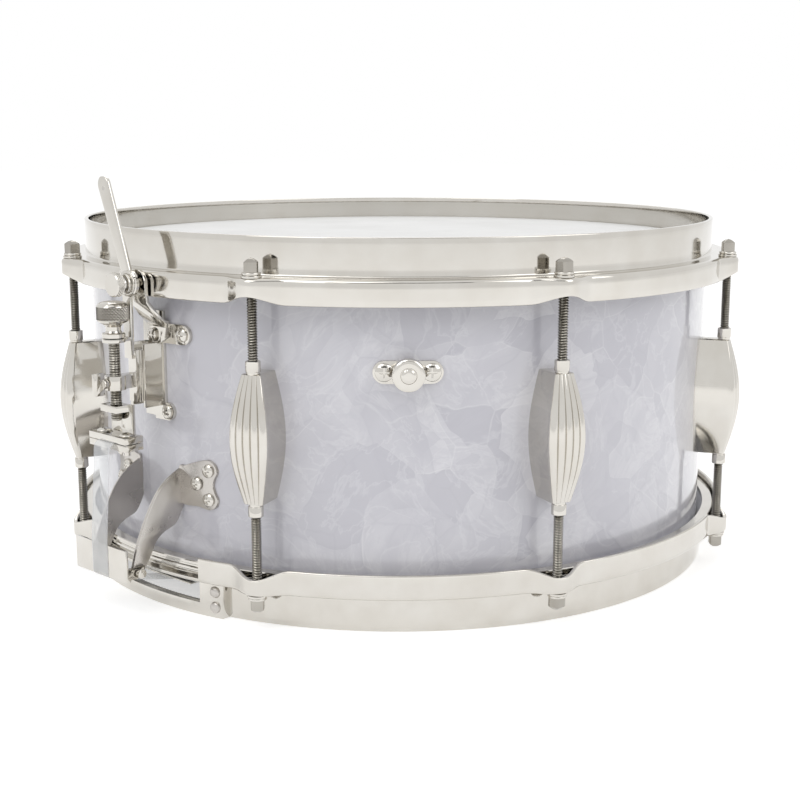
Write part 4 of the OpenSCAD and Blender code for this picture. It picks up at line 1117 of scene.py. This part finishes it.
def arm_blade(name, sign, angle):
    """The blade's outline, smoothed, as two flat faces joined by its edge, with a small round."""
    outline = np.concatenate([smooth_path(blade_outer, 1.2 * mm), smooth_path(blade_inner, 1.2 * mm)])
    rows = []
    for x in (arm_s - arm_t / 2, arm_s + arm_t / 2):
        rows.append(np.stack([np.full(len(outline), sign * x), -shell_r - outline[:, 0], outline[:, 1]], 1))
    count = len(outline)
    ring = np.arange(count)
    following = np.roll(ring, -1)
    faces = [ring.tolist(), (ring + count).tolist()]
    faces += np.stack([ring, following, following + count, ring + count], 1).tolist()
    mesh = bpy.data.meshes.new(name)
    mesh.from_pydata(placed(np.concatenate(rows), angle).tolist(), [], faces)
    mesh.materials.append(satin)
    piece = add_object(name, mesh)
    bevel = piece.modifiers.new("edge", "BEVEL")
    bevel.width = 0.3 * mm
    bevel.segments = 2
    bevel.angle_limit = np.radians(50)
    with bpy.context.temp_override(object=piece, active_object=piece):
        bpy.ops.object.modifier_apply(modifier=bevel.name)
    outward(piece)
    return piece


def arm_flange(name, sign, angle):
    """The flange's outline carried outward from the shell, drawn in a little at the front for a round
    edge, and laid on the cylinder of the shell."""
    closed = np.concatenate([flange_points, flange_points[:1]])
    outline = smooth_path(closed, 0.8 * mm)[:-1]
    middle_of_flange = outline.mean(0)
    rows = []
    for out, inset in ((0.02, 0), (1.15, 0), (1.42, 0.1), (1.5, 0.35)):
        drawn = outline + (middle_of_flange - outline) * (inset * mm / 12 / mm)
        s = sign * drawn[:, 0]
        rows.append(np.stack([s, -np.sqrt((shell_r + out * mm) ** 2 - s ** 2), drawn[:, 1]], 1))
    return surface(name, placed(np.stack(rows), angle), satin, around=True, ends=True)


arm_pieces = []
for angle in (0.0, np.pi):
    for sign in (-1, 1):
        arm_pieces.append(arm_blade("blade", sign, angle))
        arm_pieces.append(arm_flange("flange", sign, angle))
attach(joined("bridge_arms_stamped", arm_pieces), "bridge_arms")

# ---------------------------------------------------------------- guard rivets
# Two plain domed rivets hold each cheek of the guards.
rivet_base = wall_r1 + 4.3 * mm
rivets = []
for angle in np.radians([-13.7, 13.7, 166.3, 193.7]):
    for z in (5.5 * mm, 13.5 * mm):
        dome_rows = [(0.05 * mm, rivet_base - 4 * mm, 0), (1.5 * mm, rivet_base - 4 * mm, 0),
                     (1.5 * mm, rivet_base, 0), (3.0 * mm, rivet_base, 0), (2.95 * mm, rivet_base + 0.3 * mm, 0),
                     (2.5 * mm, rivet_base + 0.95 * mm, 0), (1.6 * mm, rivet_base + 1.4 * mm, 0),
                     (0.8 * mm, rivet_base + 1.62 * mm, 0), (0.05 * mm, rivet_base + 1.7 * mm, 0)]
        direction = (float(np.sin(angle)), -float(np.cos(angle)), 0.0)
        rivets.append(knurled("rivet", dome_rows, 16, (0, 0, z), direction, satin, teeth=6, deep=0.0))
attach(joined("guard_rivets_domed", rivets), "guard_rivets")

# ---------------------------------------------------------------- remaining CAD parts in plain steel
for node, thing in nodes.items():
    if not thing.hide_render and node not in ("shell", "reinforcement_rings"):
        thing.data.materials.clear()
        thing.data.materials.append(steel)
